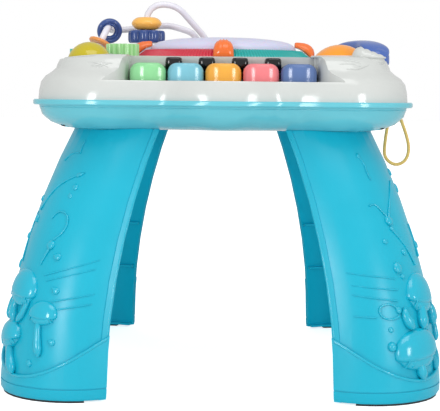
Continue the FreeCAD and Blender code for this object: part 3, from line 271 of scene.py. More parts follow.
FINISHES = {
    "top_shell": deck_plastic,
    "bottom_shell": tray_plastic,
    "leg_front_left": leg_plastic,
    "leg_front_right": leg_plastic,
    "leg_rear_left": shaded_rear_leg_copy,
    "leg_rear_right": shaded_rear_leg_copy,
    "foot_pads": foot_rubber,
    "shell_screws": steel,
    "key_shaft": steel,
    "battery_door_screw": steel,
    "battery_contacts": steel,
    "key_green": key_plastic("green_key_abs", "#93DC9C", -2),
    "key_blue": key_plastic("blue_key_abs", "#80C6D8", -1),
    "key_yellow": key_plastic("amber_key_abs", "#F9B344", 0),
    "key_coral": key_plastic("coral_key_abs", "#F58489", 1),
    "key_navy": key_plastic("navy_key_abs", "#5C77AC", 2),
    "black_keys": black_key_plastic,
    "key_board": board_laminate,
    "main_board": board_laminate,
    "drum_ring_red": moulded_abs("red_ring_abs", "#D23348", roughness=0.2),
    "drum_ring_teal": moulded_abs("teal_ring_abs", "#1FAFAA", roughness=0.2),
    "drum_pad": skin,
    "drum_clamps": clamp_plastic,
    "yellow_button": moulded_abs("lime_button_abs", "#C6B51C", roughness=0.13),
    "orange_button": moulded_abs("orange_button_abs", "#FB9E26", roughness=0.13),
    "green_gear": moulded_abs("green_gear_abs", "#B2E6A6", roughness=0.2),
    "idler_gear": moulded_abs("amber_gear_abs", "#F0B04C", roughness=0.2),
    "teal_gear": moulded_abs("teal_gear_abs", "#5FC3B4", roughness=0.2),
    "gear_axles": deck_plastic,
    "gear_disc": moulded_abs("pink_disc_abs", "#EC95AE", roughness=0.2),
    "arch_bar": bar_coat,
    "low_bar": bar_coat,
    "bar_sockets": bar_coat,
    "orange_bead": moulded_abs("orange_bead_abs", "#FFC05A", roughness=0.16),
    "flower_bead": bead_blue,
    "ring_bead": bead_blue,
    "thin_bead": moulded_abs("apricot_bead_abs", "#EC9A52", roughness=0.2),
    "handset": handset_plastic,
    "handset_cord_tail": cord_rubber,
    "cord_loop": cord_rubber,
    "cord_grommets": cord_rubber,
    "battery_door": tray_plastic,
    "batteries": cell_jacket,
    "speaker": dark_plastic,
    "power_switch_knob": deck_plastic,
}


def smooth_by_angle():
    """Node group that shades smooth across every edge flatter than 38 degrees."""
    group = bpy.data.node_groups.new("soft_moulding_edges", "GeometryNodeTree")
    group.interface.new_socket("Geometry", in_out="INPUT", socket_type="NodeSocketGeometry")
    group.interface.new_socket("Geometry", in_out="OUTPUT", socket_type="NodeSocketGeometry")
    source = add_node(group, "NodeGroupInput")
    faces = add_node(group, "GeometryNodeSetShadeSmooth", {"domain": "FACE"},
                     {"Geometry": source.outputs[0]}, Shade_Smooth=True)
    angle = add_node(group, "GeometryNodeInputMeshEdgeAngle")
    flat = add_node(group, "FunctionNodeCompare", {"data_type": "FLOAT", "operation": "LESS_THAN"},
                    {0: angle.outputs["Unsigned Angle"]}, B=math.radians(38.0))
    edges = add_node(group, "GeometryNodeSetShadeSmooth", {"domain": "EDGE"},
                     {"Geometry": faces.outputs[0], "Shade Smooth": flat.outputs["Result"]})
    add_node(group, "NodeGroupOutput", links={0: edges.outputs[0]})
    return group


SOFT_EDGES = smooth_by_angle()


def soften(obj):
    """Joins the seams between a solid's faces and shades it by angle."""
    weld = obj.modifiers.new("weld", "WELD")
    weld.merge_threshold = 0.00001
    shade = obj.modifiers.new("soft_edges", "NODES")
    shade.node_group = SOFT_EDGES
    even = obj.modifiers.new("even_normals", "WEIGHTED_NORMAL")
    even.keep_sharp = True


def paint(obj, material):
    obj.data.materials.clear()
    obj.data.materials.append(material)


def dress_solids():
    for name, obj in nodes.items():
        paint(obj, FINISHES.get(name, silicone))
        if "custom_normal" in obj.data.attributes:
            obj.data.attributes.remove(obj.data.attributes["custom_normal"])
        soften(obj)


# Mesh and curve helpers

def put_in_scene(name, data):
    obj = bpy.data.objects.new(name, data)
    bpy.context.scene.collection.objects.link(obj)
    return obj


def around(count):
    """Angles of count even steps round a circle."""
    return [2 * math.pi * index / count for index in range(count)]


def squarer(value, power):
    """A sine or cosine raised to a power below 1, sign kept, which fills out a circle's corners."""
    return math.copysign(abs(value) ** power, value)


def skin_faces(rows, count):
    """Quads between rows of count points each, closed round each row."""
    faces = []
    for row in range(rows - 1):
        low, high = row * count, (row + 1) * count
        for index in range(count):
            after = (index + 1) % count
            faces.append((low + index, low + after, high + after, high + index))
    return faces


def end_caps(rows, count):
    """One face over the first row and one over the last."""
    return [tuple(range(count)), tuple(range((rows - 1) * count, rows * count))]


def closing_faces(rows, count):
    """Quads from the last row back to the first, for a profile that closes on itself."""
    last = (rows - 1) * count
    return [(last + i, last + (i + 1) % count, (i + 1) % count, i) for i in range(count)]


def shifted(faces, start):
    return [tuple(i + start for i in face) for face in faces]


def mesh_piece(name, verts, faces, material, body="table"):
    mesh = bpy.data.meshes.new(name)
    mesh.from_pydata([tuple(v) for v in verts], [], faces)
    mesh.update()
    obj = put_in_scene(name, mesh)
    work = bmesh.new()
    work.from_mesh(mesh)
    bmesh.ops.recalc_face_normals(work, faces=work.faces)
    work.to_mesh(mesh)
    work.free()
    mesh.shade_smooth()
    mesh.materials.append(material)
    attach(obj, body)
    return obj


def curve_piece(name, strands, material, body="table", sides=3):
    """Round strands through [(point, radius), ...] lists, in metres."""
    curve = bpy.data.curves.new(name, "CURVE")
    curve.dimensions = "3D"
    curve.bevel_depth = 1.0
    curve.bevel_resolution = sides
    curve.resolution_u = 8
    curve.use_fill_caps = True
    for strand in strands:
        spline = curve.splines.new("NURBS")
        spline.points.add(len(strand) - 1)
        for point, (place, radius) in zip(spline.points, strand):
            point.co = (*place, 1.0)
            point.radius = radius
        spline.order_u = 3
        spline.use_endpoint_u = True
    obj = put_in_scene(name, curve)
    curve.materials.append(material)
    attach(obj, body)
    return obj


# Camera, light and floor

def make_camera():
    camera = bpy.data.cameras.new("camera")
    camera.lens = CAMERA_LENS
    camera.sensor_width = 36.0
    camera.clip_start = 0.01
    obj = put_in_scene("camera", camera)
    stand = Matrix.Translation((CAMERA_ASIDE, -CAMERA_BACK, CAMERA_HEIGHT))
    turn = Matrix.Rotation(math.radians(90.0 - CAMERA_PITCH), 4, "X")
    roll = Matrix.Rotation(math.radians(CAMERA_ROLL), 4, "Z")
    obj.matrix_world = stand @ turn @ roll
    bpy.context.scene.camera = obj


def soft_box(name, turn, back, height, size, power, diffuse=1.0):
    """Soft box at a turn from the camera's side, aimed at the middle of the table."""
    lamp = bpy.data.lights.new(name, "AREA")
    lamp.shape = "RECTANGLE"
    lamp.size, lamp.size_y = size
    lamp.energy = power
    lamp.diffuse_factor = diffuse
    obj = put_in_scene(name, lamp)
    angle = math.radians(turn)
    place = Vector((back * math.sin(angle), -back * math.cos(angle), height))
    obj.location = place
    obj.rotation_euler = (Vector(LIGHT_TARGET) - place).to_track_quat("-Z", "Y").to_euler()


def make_light():
    world = bpy.data.worlds.new("studio")
    bpy.context.scene.world = world
    world.use_nodes = True
    tree = world.node_tree
    room = tree.nodes["Background"]
    room.inputs["Color"].default_value = (1.0, 1.0, 1.0, 1.0)
    room.inputs["Strength"].default_value = ROOM_LIGHT
    seen = add_node(tree, "ShaderNodeBackground", Color=(1.0, 1.0, 1.0, 1.0), Strength=1.0)
    rays = add_node(tree, "ShaderNodeLightPath")
    either = add_node(tree, "ShaderNodeMath", {"operation": "MAXIMUM"},
                      {0: rays.outputs["Is Camera Ray"], 1: rays.outputs["Is Transmission Ray"]})
    mix = add_node(tree, "ShaderNodeMixShader",
                   links={0: either.outputs[0], 1: room.outputs[0], 2: seen.outputs[0]})
    tree.links.new(mix.outputs[0], tree.nodes["World Output"].inputs["Surface"])
    soft_box("left_box", turn=-27.0, back=1.7, height=0.42, size=(0.34, 0.42), power=5.5, diffuse=0.5)
    soft_box("right_box", turn=40.0, back=1.8, height=0.42, size=(0.30, 0.42), power=4.6, diffuse=0.5)
    soft_box("top_box", turn=15.0, back=0.9, height=1.7, size=(1.3, 1.0), power=9.0)


def make_floor():
    material, tree, shader, _ = new_material("studio_floor")
    shader.inputs["Base Color"].default_value = srgb("#F2F2F2")
    shader.inputs["Roughness"].default_value = 0.9
    glow = add_node(tree, "ShaderNodeEmission", Color=(1.0, 1.0, 1.0, 1.0))
    rays = add_node(tree, "ShaderNodeLightPath")
    strength = add_node(tree, "ShaderNodeMath", {"operation": "MULTIPLY"},
                        {0: rays.outputs["Is Camera Ray"]})
    strength.inputs[1].default_value = FLOOR_GLOW
    tree.links.new(strength.outputs[0], glow.inputs["Strength"])
    both = add_node(tree, "ShaderNodeAddShader", links={0: shader.outputs[0], 1: glow.outputs[0]})
    tree.links.new(both.outputs[0], tree.nodes["Material Output"].inputs["Surface"])
    mesh = bpy.data.meshes.new("floor")
    corners = [(x * FLOOR_REACH, y * FLOOR_REACH, 0) for x, y in ((-1, -1), (1, -1), (1, 1), (-1, 1))]
    mesh.from_pydata(corners, [], [(0, 1, 2, 3)])
    obj = put_in_scene("floor", mesh)
    mesh.materials.append(material)


# Cord loop

def make_cord():
    curve = bpy.data.curves.new("pull_cord", "CURVE")
    curve.dimensions = "3D"
    curve.bevel_depth = CORD_DIAMETER / 2
    curve.bevel_resolution = 5
    curve.resolution_u = 16
    curve.use_fill_caps = True
    spline = curve.splines.new("NURBS")
    spline.points.add(len(CORD_ROUTE) - 1)
    for point, place in zip(spline.points, CORD_ROUTE):
        point.co = (*place, 1.0)
    spline.order_u = 3
    spline.use_endpoint_u = True
    obj = put_in_scene("pull_cord", curve)
    curve.materials.append(cord_rubber)
    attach(obj, "table")
    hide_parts("cord_loop")


# Relief on the front legs

def leg_centre(height):
    """Distance of the leg's curved axis from the table's middle, along x and along y."""
    return FOOT_CENTRE - (FOOT_CENTRE - HEAD_CENTRE) * (max(height, 0.0) / LEG_HEIGHT) ** 2


def leg_radius(height):
    return FOOT_RADIUS - (FOOT_RADIUS - HEAD_RADIUS) * (max(height, 0.0) / LEG_HEIGHT) ** 1.4


def leg_point(side, turn, height, out):
    """Point on a front leg's outer skin; turn is in degrees from the corner diagonal towards the
    keyboard side, and height and out are in millimetres."""
    centre = leg_centre(height)
    radius = leg_radius(height) + out
    angle = math.radians(225 + turn if side < 0 else 315 - turn)
    place = (side * centre + radius * math.cos(angle), -centre + radius * math.sin(angle), height)
    return Vector(place) * MM


def tilted(shape, tilt):
    """The (across, up) points of a shape, turned by tilt degrees."""
    turn = math.radians(tilt)
    return [(x * math.cos(turn) - y * math.sin(turn), x * math.sin(turn) + y * math.cos(turn))
            for x, y in shape]


def oval(width, tall, tilt=0.0, points=32):
    return tilted([(width / 2 * math.cos(a), tall / 2 * math.sin(a)) for a in around(points)], tilt)


def mushroom_cap(width, tall, tilt=0.0, points=40):
    """Domed top over a nearly flat brim."""
    shape = []
    for a in around(points):
        x = width / 2 * squarer(math.cos(a), 0.9)
        y = tall * (0.66 if math.sin(a) > 0 else 0.2) * math.sin(a)
        shape.append((x, y))
    return tilted(shape, tilt)


def teardrop(width, tall, tilt=0.0, points=28):
    shape = []
    for a in around(points):
        shape.append((width / 2 * math.sin(a) * abs(math.sin(a / 2)) * 1.25, tall / 2 * math.cos(a)))
    return tilted(shape, tilt)


def add_boss(verts, faces, side, turn, height, outline, rise, rings=7, sink=0.5):
    """Raised rounded boss on a leg, its rim along the outline (millimetres across and up)."""
    start = len(verts)
    count = len(outline)
    for ring in range(rings):
        a = math.pi / 2 * ring / rings
        draw_in = math.cos(a) ** 0.7
        for s, t in outline:
            z = height + t * draw_in
            across = turn + math.degrees(s * draw_in / leg_radius(z))
            verts.append(leg_point(side, across, z, -sink + (rise + sink) * math.sin(a)))
    verts.append(leg_point(side, turn, height, rise))
    faces += shifted(skin_faces(rings, count), start)
    last = start + (rings - 1) * count
    for index in range(count):
        faces.append((last + index, last + (index + 1) % count, start + rings * count))


def leg_strand(side, places, radius, end_radius=None, lift=0.25):
    """Half-sunk strand over (turn, height) places; the radius tapers to end_radius."""
    end = radius if end_radius is None else end_radius
    strand = []
    for index, (turn, height) in enumerate(places):
        r = radius + (end - radius) * index / (len(places) - 1)
        strand.append((leg_point(side, turn, height, r * lift), r * MM))
    return strand


# Mushrooms, as (turn, height of the brim, width, height of the cap, tilt, rise)
LEFT_CAPS = [
    (-10.0, 96.0, 41.0, 30.0, -8.0, 7.2), (18.3, 77.0, 31.0, 19.5, -3.0, 5.2),
    (-17.0, 53.5, 36.0, 24.0, 10.0, 7.4),
]
RIGHT_CAPS = [
    (-10.5, 94.0, 40.0, 33.0, 6.0, 7.4), (2.0, 45.5, 57.0, 33.0, -7.0, 8.2),
    (-39.0, 72.0, 22.0, 20.0, 0.0, 5.6),
]
# Stems, as places (turn, height) and the radii at their two ends
LEFT_STEMS = [
    ([(-15.0, 90.0), (-17.0, 80.0), (-14.0, 71.0)], 3.4, 4.6),
    ([(2.0, 88.0), (-1.0, 78.0), (-6.5, 70.0)], 2.6, 3.4),
    ([(-25.0, 88.0), (-28.0, 79.0), (-27.0, 71.0)], 2.6, 3.6),
    ([(16.5, 71.0), (17.5, 57.0), (20.0, 44.0)], 2.8, 4.4),
    ([(-14.0, 47.0), (-11.0, 35.0), (-6.5, 25.5)], 3.4, 5.4),
]
RIGHT_STEMS = [
    ([(-6.5, 88.0), (-5.5, 79.0), (-4.5, 71.0)], 4.2, 5.8),
    ([(-24.0, 86.0), (-26.0, 78.0), (-25.0, 71.0)], 3.6, 5.0),
    ([(4.5, 40.0), (3.5, 32.0), (1.8, 25.5)], 3.8, 5.6),
    ([(12.5, 85.0), (13.5, 79.0), (9.5, 71.0)], 3.0, 5.4),
    ([(-38.0, 68.0), (-39.0, 60.0), (-38.0, 52.0)], 2.6, 3.4),
    ([(-20.0, 40.0), (-22.0, 32.0), (-22.0, 28.0)], 2.4, 3.2),
]
# Drops and beads, as (turn, height, width, length, tilt, rise)
LEFT_DROPS = [
    (20.5, 129.5, 6.5, 9.0, 70.0, 1.8), (26.0, 100.0, 6.5, 9.5, 55.0, 1.8),
    (29.5, 54.0, 6.0, 8.0, 65.0, 1.6), (11.5, 33.5, 6.0, 7.0, 20.0, 1.8),
    (11.5, 139.0, 8.5, 8.5, 0.0, 2.8), (-46.0, 116.0, 7.0, 10.0, 0.0, 2.4),
    (-38.0, 143.0, 4.5, 6.5, 0.0, 1.8), (-24.0, 160.0, 4.0, 7.5, 0.0, 1.6),
    (-33.0, 178.0, 4.0, 6.0, 0.0, 1.5), (16.5, 191.0, 5.0, 6.5, 40.0, 1.3),
    (14.5, 183.0, 4.0, 5.5, 40.0, 1.2), (17.0, 202.5, 4.0, 9.0, -70.0, 1.3),
]
RIGHT_DROPS = [
    (11.0, 122.0, 9.0, 10.5, 0.0, 3.0), (7.5, 114.0, 4.5, 5.0, 0.0, 1.8),
    (6.0, 163.5, 8.5, 8.5, 0.0, 3.0), (5.5, 156.5, 4.2, 4.2, 0.0, 1.8),
    (17.0, 145.5, 5.0, 5.0, 0.0, 1.8), (-1.5, 135.0, 5.0, 5.5, 0.0, 1.6),
    (-38.0, 138.0, 6.0, 7.5, 0.0, 2.2), (27.5, 68.0, 5.0, 5.5, 0.0, 1.6),
    (-11.0, 34.5, 5.0, 6.0, 0.0, 1.6), (28.0, 53.0, 8.0, 9.0, 0.0, 3.4),
    (22.0, 41.5, 7.0, 7.0, 0.0, 2.8), (18.0, 85.0, 6.0, 7.0, 0.0, 2.0),
    (-40.0, 190.0, 4.0, 9.0, 0.0, 1.6), (-36.0, 205.0, 3.5, 7.0, 0.0, 1.4),
    (14.0, 222.0, 3.5, 5.0, 30.0, 1.2),
]
# Tendrils, as places and radii, as the stems are
LEFT_TENDRILS = [
    ([(11.0, 136.0), (8.5, 130.0), (5.5, 121.0)], 1.3, 0.6),
    ([(13.0, 144.0), (18.0, 148.0), (22.0, 156.0), (20.0, 165.0),
      (13.0, 169.5), (6.0, 168.0), (2.5, 162.0)], 0.9, 0.6),
    ([(-24.0, 168.0), (-17.0, 178.0), (-10.0, 187.0),
      (-2.0, 193.5), (6.0, 198.0), (14.0, 201.5)], 0.9, 0.6),
    ([(-14.0, 214.0), (-9.0, 219.0), (-2.0, 222.0), (5.0, 221.5)], 0.7, 0.4),
    ([(6.5, 221.0), (4.0, 226.0), (5.0, 233.0)], 0.6, 0.4),
    ([(-30.0, 120.0), (-33.0, 132.0), (-34.0, 150.0), (-30.0, 166.0)], 0.8, 0.5),
]
RIGHT_TENDRILS = [
    ([(6.0, 156.0), (-2.0, 146.0), (-9.0, 136.0), (-15.0, 122.0)], 1.1, 0.8),
    ([(5.0, 166.0), (0.5, 174.0), (-6.0, 183.0), (-14.0, 192.0), (-21.0, 198.0)], 1.0, 0.6),
    ([(22.0, 177.0), (18.0, 179.0), (14.0, 177.0), (9.5, 171.0), (6.0, 166.0)], 0.8, 0.8),
    ([(14.0, 222.0), (10.0, 215.0), (12.0, 206.0), (10.0, 200.0)], 0.6, 0.4),
    ([(17.5, 82.0), (20.0, 88.5), (26.0, 91.0), (33.0, 89.5), (35.5, 84.5),
      (33.0, 79.0), (27.0, 77.0), (21.0, 78.0), (18.0, 80.0)], 1.0, 1.0),
    ([(-30.0, 128.0), (-32.0, 142.0), (-30.0, 158.0)], 1.2, 0.7),
]
# Fine ribs that run level towards the edge, as (turn, height) at each end
LEFT_RIBS = [
    ((13.0, 112.5), (58.0, 127.0)), ((16.0, 107.8), (56.0, 119.0)), ((25.0, 90.0), (59.0, 97.0)),
    ((31.5, 83.2), (58.0, 88.2)),
]
RIGHT_RIBS = [
    ((16.0, 112.8), (57.0, 118.2)), ((16.0, 102.7), (54.0, 107.2)), ((17.5, 93.0), (55.0, 98.8)),
    ((38.0, 79.0), (56.0, 80.0)),
]

# Gills and fine ribs, then the boot's lip and the beads beside the legs' open edges
GILL_RADIUS = 0.55
GILL_FALL = 1.6
RIB_PARTS = 5
BOOT_REACH = 73.0
LIP_RADIUS = 1.5
LIP_SINK = 0.9
EDGE_TURN = 74.0
EDGE_LOW = 60.0
EDGE_LENGTH = 176.0
EDGE_RADIUS = 1.0


def rounded_ends(strand):
    """Adds a small end beyond each end of a strand, so that it closes like a fingertip."""
    (first, r0), (second, _) = strand[0], strand[1]
    (last, r1), (before, _) = strand[-1], strand[-2]
    start = first + (first - second).normalized() * r0 * 0.8
    end = last + (last - before).normalized() * r1 * 0.8
    return [(start, r0 * 0.25)] + strand + [(end, r1 * 0.25)]


def boot_edge(turn):
    """Height of the boot's scooped upper edge at a turn from the corner's diagonal."""
    across = FOOT_RADIUS * math.sin(math.radians(turn))
    return BOOT_LOW + BOOT_SCOOP - math.sqrt(BOOT_SCOOP ** 2 - across ** 2)


def cap_gills(side, cap):
    """Fine gills under a mushroom's brim, each a short strand that falls away outwards."""
    turn, height, width, tall, tilt, rise = cap
    lean = math.radians(tilt)
    gills = []
    for gill in range(-3, 4):
        strand = []
        for step, (reach, drop) in enumerate(((0.10, 0.10), (0.13, 0.36))):
            along, up = gill * reach * width, -tall * drop * (1 - 0.03 * gill * gill)
            across = along * math.cos(lean) - up * math.sin(lean)
            z = height + along * math.sin(lean) + up * math.cos(lean)
            place = leg_point(side, turn + math.degrees(across / leg_radius(height)), z,
                              rise * 0.74 - GILL_FALL * step)
            strand.append((place, GILL_RADIUS * MM))
        gills.append(strand)
    return gills


def rib_strand(side, first, last):
    """Fine rib from one (turn, height) to another."""
    places = [(first[0] + (last[0] - first[0]) * k / RIB_PARTS,
               first[1] + (last[1] - first[1]) * k / RIB_PARTS) for k in range(RIB_PARTS + 1)]
    return leg_strand(side, places, 0.8, 0.4, lift=0.2)


def make_leg_relief():
    for label, side, caps, stems, drops, tendrils, ribs in (
            ("left", -1, LEFT_CAPS, LEFT_STEMS, LEFT_DROPS, LEFT_TENDRILS, LEFT_RIBS),
            ("right", 1, RIGHT_CAPS, RIGHT_STEMS, RIGHT_DROPS, RIGHT_TENDRILS, RIGHT_RIBS)):
        verts, faces, gills = [], [], []
        for cap in caps:
            turn, height, width, tall, tilt, rise = cap
            add_boss(verts, faces, side, turn, height, mushroom_cap(width, tall, tilt), rise, rings=10)
            under = oval(width * 0.84, tall * 0.7, tilt)
            add_boss(verts, faces, side, turn, height - tall * 0.1, under, rise * 0.8, rings=8)
            gills += cap_gills(side, cap)
        for turn, height, width, tall, tilt, rise in drops:
            outline = oval if abs(width - tall) < 2.0 else teardrop
            add_boss(verts, faces, side, turn, height, outline(width, tall, tilt), rise, rings=5)
        relief = mesh_piece("leg_relief_" + label, verts, faces, relief_plastic)
        strands = [rounded_ends(leg_strand(side, places, start, end, 0.4))
                   for places, start, end in stems]
        strands += [leg_strand(side, places, start, end) for places, start, end in tendrils]
        vines = curve_piece("leg_vines_" + label, strands, relief_plastic, sides=4)
        lines = [rib_strand(side, first, last) for first, last in ribs]
        curve_piece("leg_fine_ribs_" + label, lines + gills, leg_plastic)


def corner_leg_point(corner, turn, height, out):
    """Point on any leg's outer skin; corner counts quarter turns from the +X +Y corner."""
    centre = leg_centre(height)
    radius = leg_radius(height) + out
    angle = math.radians(45 + turn)
    point = (centre + radius * math.cos(angle), centre + radius * math.sin(angle), height)
    return Matrix.Rotation(math.radians(90 * corner), 3, "Z") @ (Vector(point) * MM)


def make_leg_edges():
    """Soft lip along the boot's upper edge and a fine bead beside each open edge of the legs."""
    strands = []
    for corner in range(4):
        lip = []
        for step in range(25):
            turn = -BOOT_REACH + 2 * BOOT_REACH * step / 24
            place = corner_leg_point(corner, turn, boot_edge(turn) - LIP_SINK, BOOT_RISE - LIP_SINK)
            lip.append((place, LIP_RADIUS * MM))
        strands.append(lip)
        for turn in (-EDGE_TURN, EDGE_TURN):
            heights = [EDGE_LOW + EDGE_LENGTH * step / 11 for step in range(12)]
            strands.append([(corner_leg_point(corner, turn, z, 0.5), EDGE_RADIUS * MM) for z in heights])
    curve_piece("leg_soft_edges", strands, relief_plastic)


# Ribs of the drum's ring

RING_OUTER = 89.0
RING_RIBS = 88
RIB_DEPTH = 1.3
STEPS_PER_RIB = 5
RIBBED_FROM = 79.5
RIBBED_TO = 88.5
HALF_GAP = 0.1
HALF_SWEEP = 179.8
# Section of the ring from the drum head outwards, as (radius, height over the deck)
RING_SLOPE = [
    (75.2, 0.0), (75.2, 5.6), (75.7, 6.9), (76.6, 7.5), (79.0, 7.6), (80.2, 7.1), (82.2, 5.55),
    (84.2, 4.0), (86.2, 2.45), (88.0, 1.05), (88.8, 0.4), (88.9, 0.0),
]


def make_ring_halves():
    """Two half rings with a sloping face of fine radial ribs and a flat rim round the drum head."""
    steps = STEPS_PER_RIB * RING_RIBS
    count = len(RING_SLOPE)
    for label, first in (("red", 90.0), ("teal", -90.0)):
        verts = []
        for step in range(steps + 1):
            a = math.radians(first + HALF_GAP + HALF_SWEEP * step / steps)
            wave = RIB_DEPTH * math.cos(2 * math.pi * step / STEPS_PER_RIB)
            for r, z in RING_SLOPE:
                lift = wave if RIBBED_FROM < r < RIBBED_TO else 0.0
                verts.append(Vector((r * math.cos(a), r * math.sin(a), DECK_TOP + z + lift)) * MM)
        faces = skin_faces(steps + 1, count) + end_caps(steps + 1, count)
        half = mesh_piece("ribbed_ring_" + label, verts, faces, FINISHES["drum_ring_" + label])
        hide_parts("drum_ring_" + label)


# Clamps, beads and handset with the soft forms of the real mouldings

CLAMP_WIDTH = 20.0
CLAMP_TIP = 73.0
CLAMP_STATIONS = 25
# Back and underside of a clamp from its foot to its tip, as (radius, height over the deck)
CLAMP_BACK = [
    (RING_OUTER + 4.0, 0.0), (RING_OUTER + 4.6, 3.5), (RING_OUTER + 4.6, 7.0),
    (RING_OUTER + 3.6, 10.4), (RING_OUTER + 1.2, 13.4), (RING_OUTER - 2.0, 15.5),
    (RING_OUTER - 6.0, 16.7), (CLAMP_TIP + 3.5, 17.3), (CLAMP_TIP + 1.1, 17.2), (CLAMP_TIP + 0.1, 16.2),
]
CLAMP_UNDERSIDE = [
    (RING_OUTER + 0.4, 0.0), (RING_OUTER + 0.3, 1.6), (RING_OUTER - 0.8, 3.0),
    (RING_OUTER - 2.8, 4.9), (RING_OUTER - 5.0, 6.6), (RING_OUTER - 7.5, 8.6),
    (CLAMP_TIP + 5.2, 10.9), (CLAMP_TIP + 2.6, 11.7), (CLAMP_TIP + 1.0, 11.9), (CLAMP_TIP + 0.1, 12.6),
]


def clamp_side(across, r):
    """Sideways place on a clamp, which narrows towards its tip."""
    taper = 0.6 + 0.4 * min(max((r - CLAMP_TIP) / (RING_OUTER - CLAMP_TIP), 0.0), 1.0)
    return across * taper * CLAMP_WIDTH / 2


def clamp_section(across):
    """Section of a clamp at a share of -1 to 1 of its half width."""
    full = max(1.0 - abs(across) ** 2.2, 0.0) ** 0.5
    flute = 0.45 * math.cos(5 * math.pi * across) * full if abs(across) < 0.75 else 0.0
    share = 0.1 + 0.9 * full
    section = []
    for (r, z), (low_r, low_z) in zip(CLAMP_BACK, CLAMP_UNDERSIDE):
        level = DECK_TOP + low_z + (z - low_z) * share + (flute if z > 6.0 else 0.0)
        section.append((low_r + (r - low_r) * share, clamp_side(across, r), level))
    for low_r, low_z in reversed(CLAMP_UNDERSIDE):
        section.append((low_r, clamp_side(across, low_r), DECK_TOP + low_z))
    return section


def make_clamps():
    """Hooked clamps with a rounded back and finger flutes, one on each side of the drum."""
    section_points = []
    for step in range(CLAMP_STATIONS):
        section_points += clamp_section(-1.0 + 2.0 * step / (CLAMP_STATIONS - 1))
    count = 2 * len(CLAMP_BACK)
    clamp_faces = skin_faces(CLAMP_STATIONS, count) + end_caps(CLAMP_STATIONS, count)
    verts, faces = [], []
    for quarter in range(4):
        turn = Matrix.Rotation(math.radians(90 * quarter), 3, "Z")
        faces += shifted(clamp_faces, len(verts))
        verts += [turn @ Vector(point) * MM for point in section_points]
    clamps = mesh_piece("soft_clamps", verts, faces, clamp_plastic)
    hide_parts("drum_clamps")


def turned(name, profile, place, material, body, tilt=None, ripple=None, steps=64):
    """Turned piece from (radius, height) pairs; ripple changes the radius by direction."""
    verts = []
    for r, z in profile:
        for a in around(steps):
            reach = r if ripple is None else ripple(r, a)
            point = Vector((reach * math.cos(a), reach * math.sin(a), z))
            verts.append((tilt @ point if tilt else point) * MM + Vector(place) * MM)
    faces = skin_faces(len(profile), steps) + closing_faces(len(profile), steps)
    return mesh_piece(name, verts, faces, material, body)


# The arch's upright in x and y, and the low bar in x and z
ARCH = (-84.0, 90.0)
LOW_BAR = (-123.0, 346.0)
BEAD_BORE = 4.1
# Middles of the disc and the flower above the floor
DISC_HEIGHT = 352.9
FLOWER_HEIGHT = 338.55
FLOWER_HALF = 6.85
FLOWER_REACH = 20.5
FLOWER_TURN = math.radians(9.0)
PETAL_DEPTH = 5.6
RING_TURN = 16.0
RING_LEAN = 16.0
RING_Y = 72.0
RING_HANG = 2.2


def flower_radius(r, a):
    """Radius of the flower bead in one direction, drawn in between its eight petals."""
    if r < 5.0:
        return r
    wave = abs(math.cos(4 * (a + FLOWER_TURN))) ** 0.5
    return r - PETAL_DEPTH * (1 - wave) * (r / FLOWER_REACH) ** 2


def flower_profile():
    profile = [(BEAD_BORE, -FLOWER_HALF + 0.6), (6.0, -FLOWER_HALF + 0.1)]
    for step in range(17):
        a = math.pi * (step / 16 - 0.5)
        profile.append((16.6 + 3.9 * max(math.cos(a), 0.0) ** 0.55, FLOWER_HALF * squarer(math.sin(a), 0.6)))
    return profile + [(6.0, FLOWER_HALF - 0.1), (BEAD_BORE, FLOWER_HALF - 0.6)]


def make_beads():
    lens = [(BEAD_BORE, -6.2), (7.0, -6.7), (9.5, -6.7), (12.2, -5.7), (14.6, -3.7), (16.1, -1.5),
            (16.5, 0.0), (16.1, 1.5), (14.6, 3.7), (12.2, 5.7), (9.5, 6.7), (7.0, 6.7), (BEAD_BORE, 6.2)]
    bead = turned("orange_disc_bead", lens, (*ARCH, DISC_HEIGHT), FINISHES["orange_bead"], "orange_bead")
    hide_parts("orange_bead")
    flower = turned("lobed_flower_bead", flower_profile(), (*ARCH, FLOWER_HEIGHT), bead_blue,
                    "flower_bead", ripple=flower_radius, steps=128)
    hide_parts("flower_bead")
    ring = double_ring()
    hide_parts("ring_bead")


def double_ring():
    """Open ring moulded as a thick outer ring with a smaller ring inside it."""
    def swell(r):
        outer = math.sqrt(max(2.7 ** 2 - (r - 11.0) ** 2, 0.0)) * 1.35
        inner = math.sqrt(max(2.0 ** 2 - (r - 7.5) ** 2, 0.0)) * 1.6
        return max(outer, inner, 0.4)

    radii = [5.6 + 8.0 * step / 36 for step in range(37)]
    profile = [(r, swell(r)) for r in radii] + [(r, -swell(r)) for r in reversed(radii)]
    lean = Matrix.Rotation(math.radians(90.0 + RING_LEAN), 3, "X")
    tilt = Matrix.Rotation(math.radians(RING_TURN), 3, "Z") @ lean
    middle = (LOW_BAR[0], RING_Y, LOW_BAR[1] - RING_HANG)
    return turned("open_ring_bead", profile, middle, bead_blue, "ring_bead", tilt=tilt, steps=72)


def make_drum_head():
    """Crowned drum head with a soft rounded shoulder, which moves when it is pressed."""
    profile = [(74.3, 5.4), (74.3, 9.0), (73.9, 10.8), (72.6, 12.9), (70.2, 14.9), (66.5, 16.7),
               (60.0, 18.2), (50.0, 19.6), (38.0, 20.6), (25.0, 21.2), (12.0, 21.5), (0.0, 21.6)]
    count = 128
    verts = [Vector((r * math.cos(a), r * math.sin(a), DECK_TOP + z)) * MM
             for r, z in profile for a in around(count)]
    faces = skin_faces(len(profile), count) + [tuple(range(count))]
    head = mesh_piece("crowned_drum_head", verts, faces, skin, "drum_head")
    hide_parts("drum_pad")


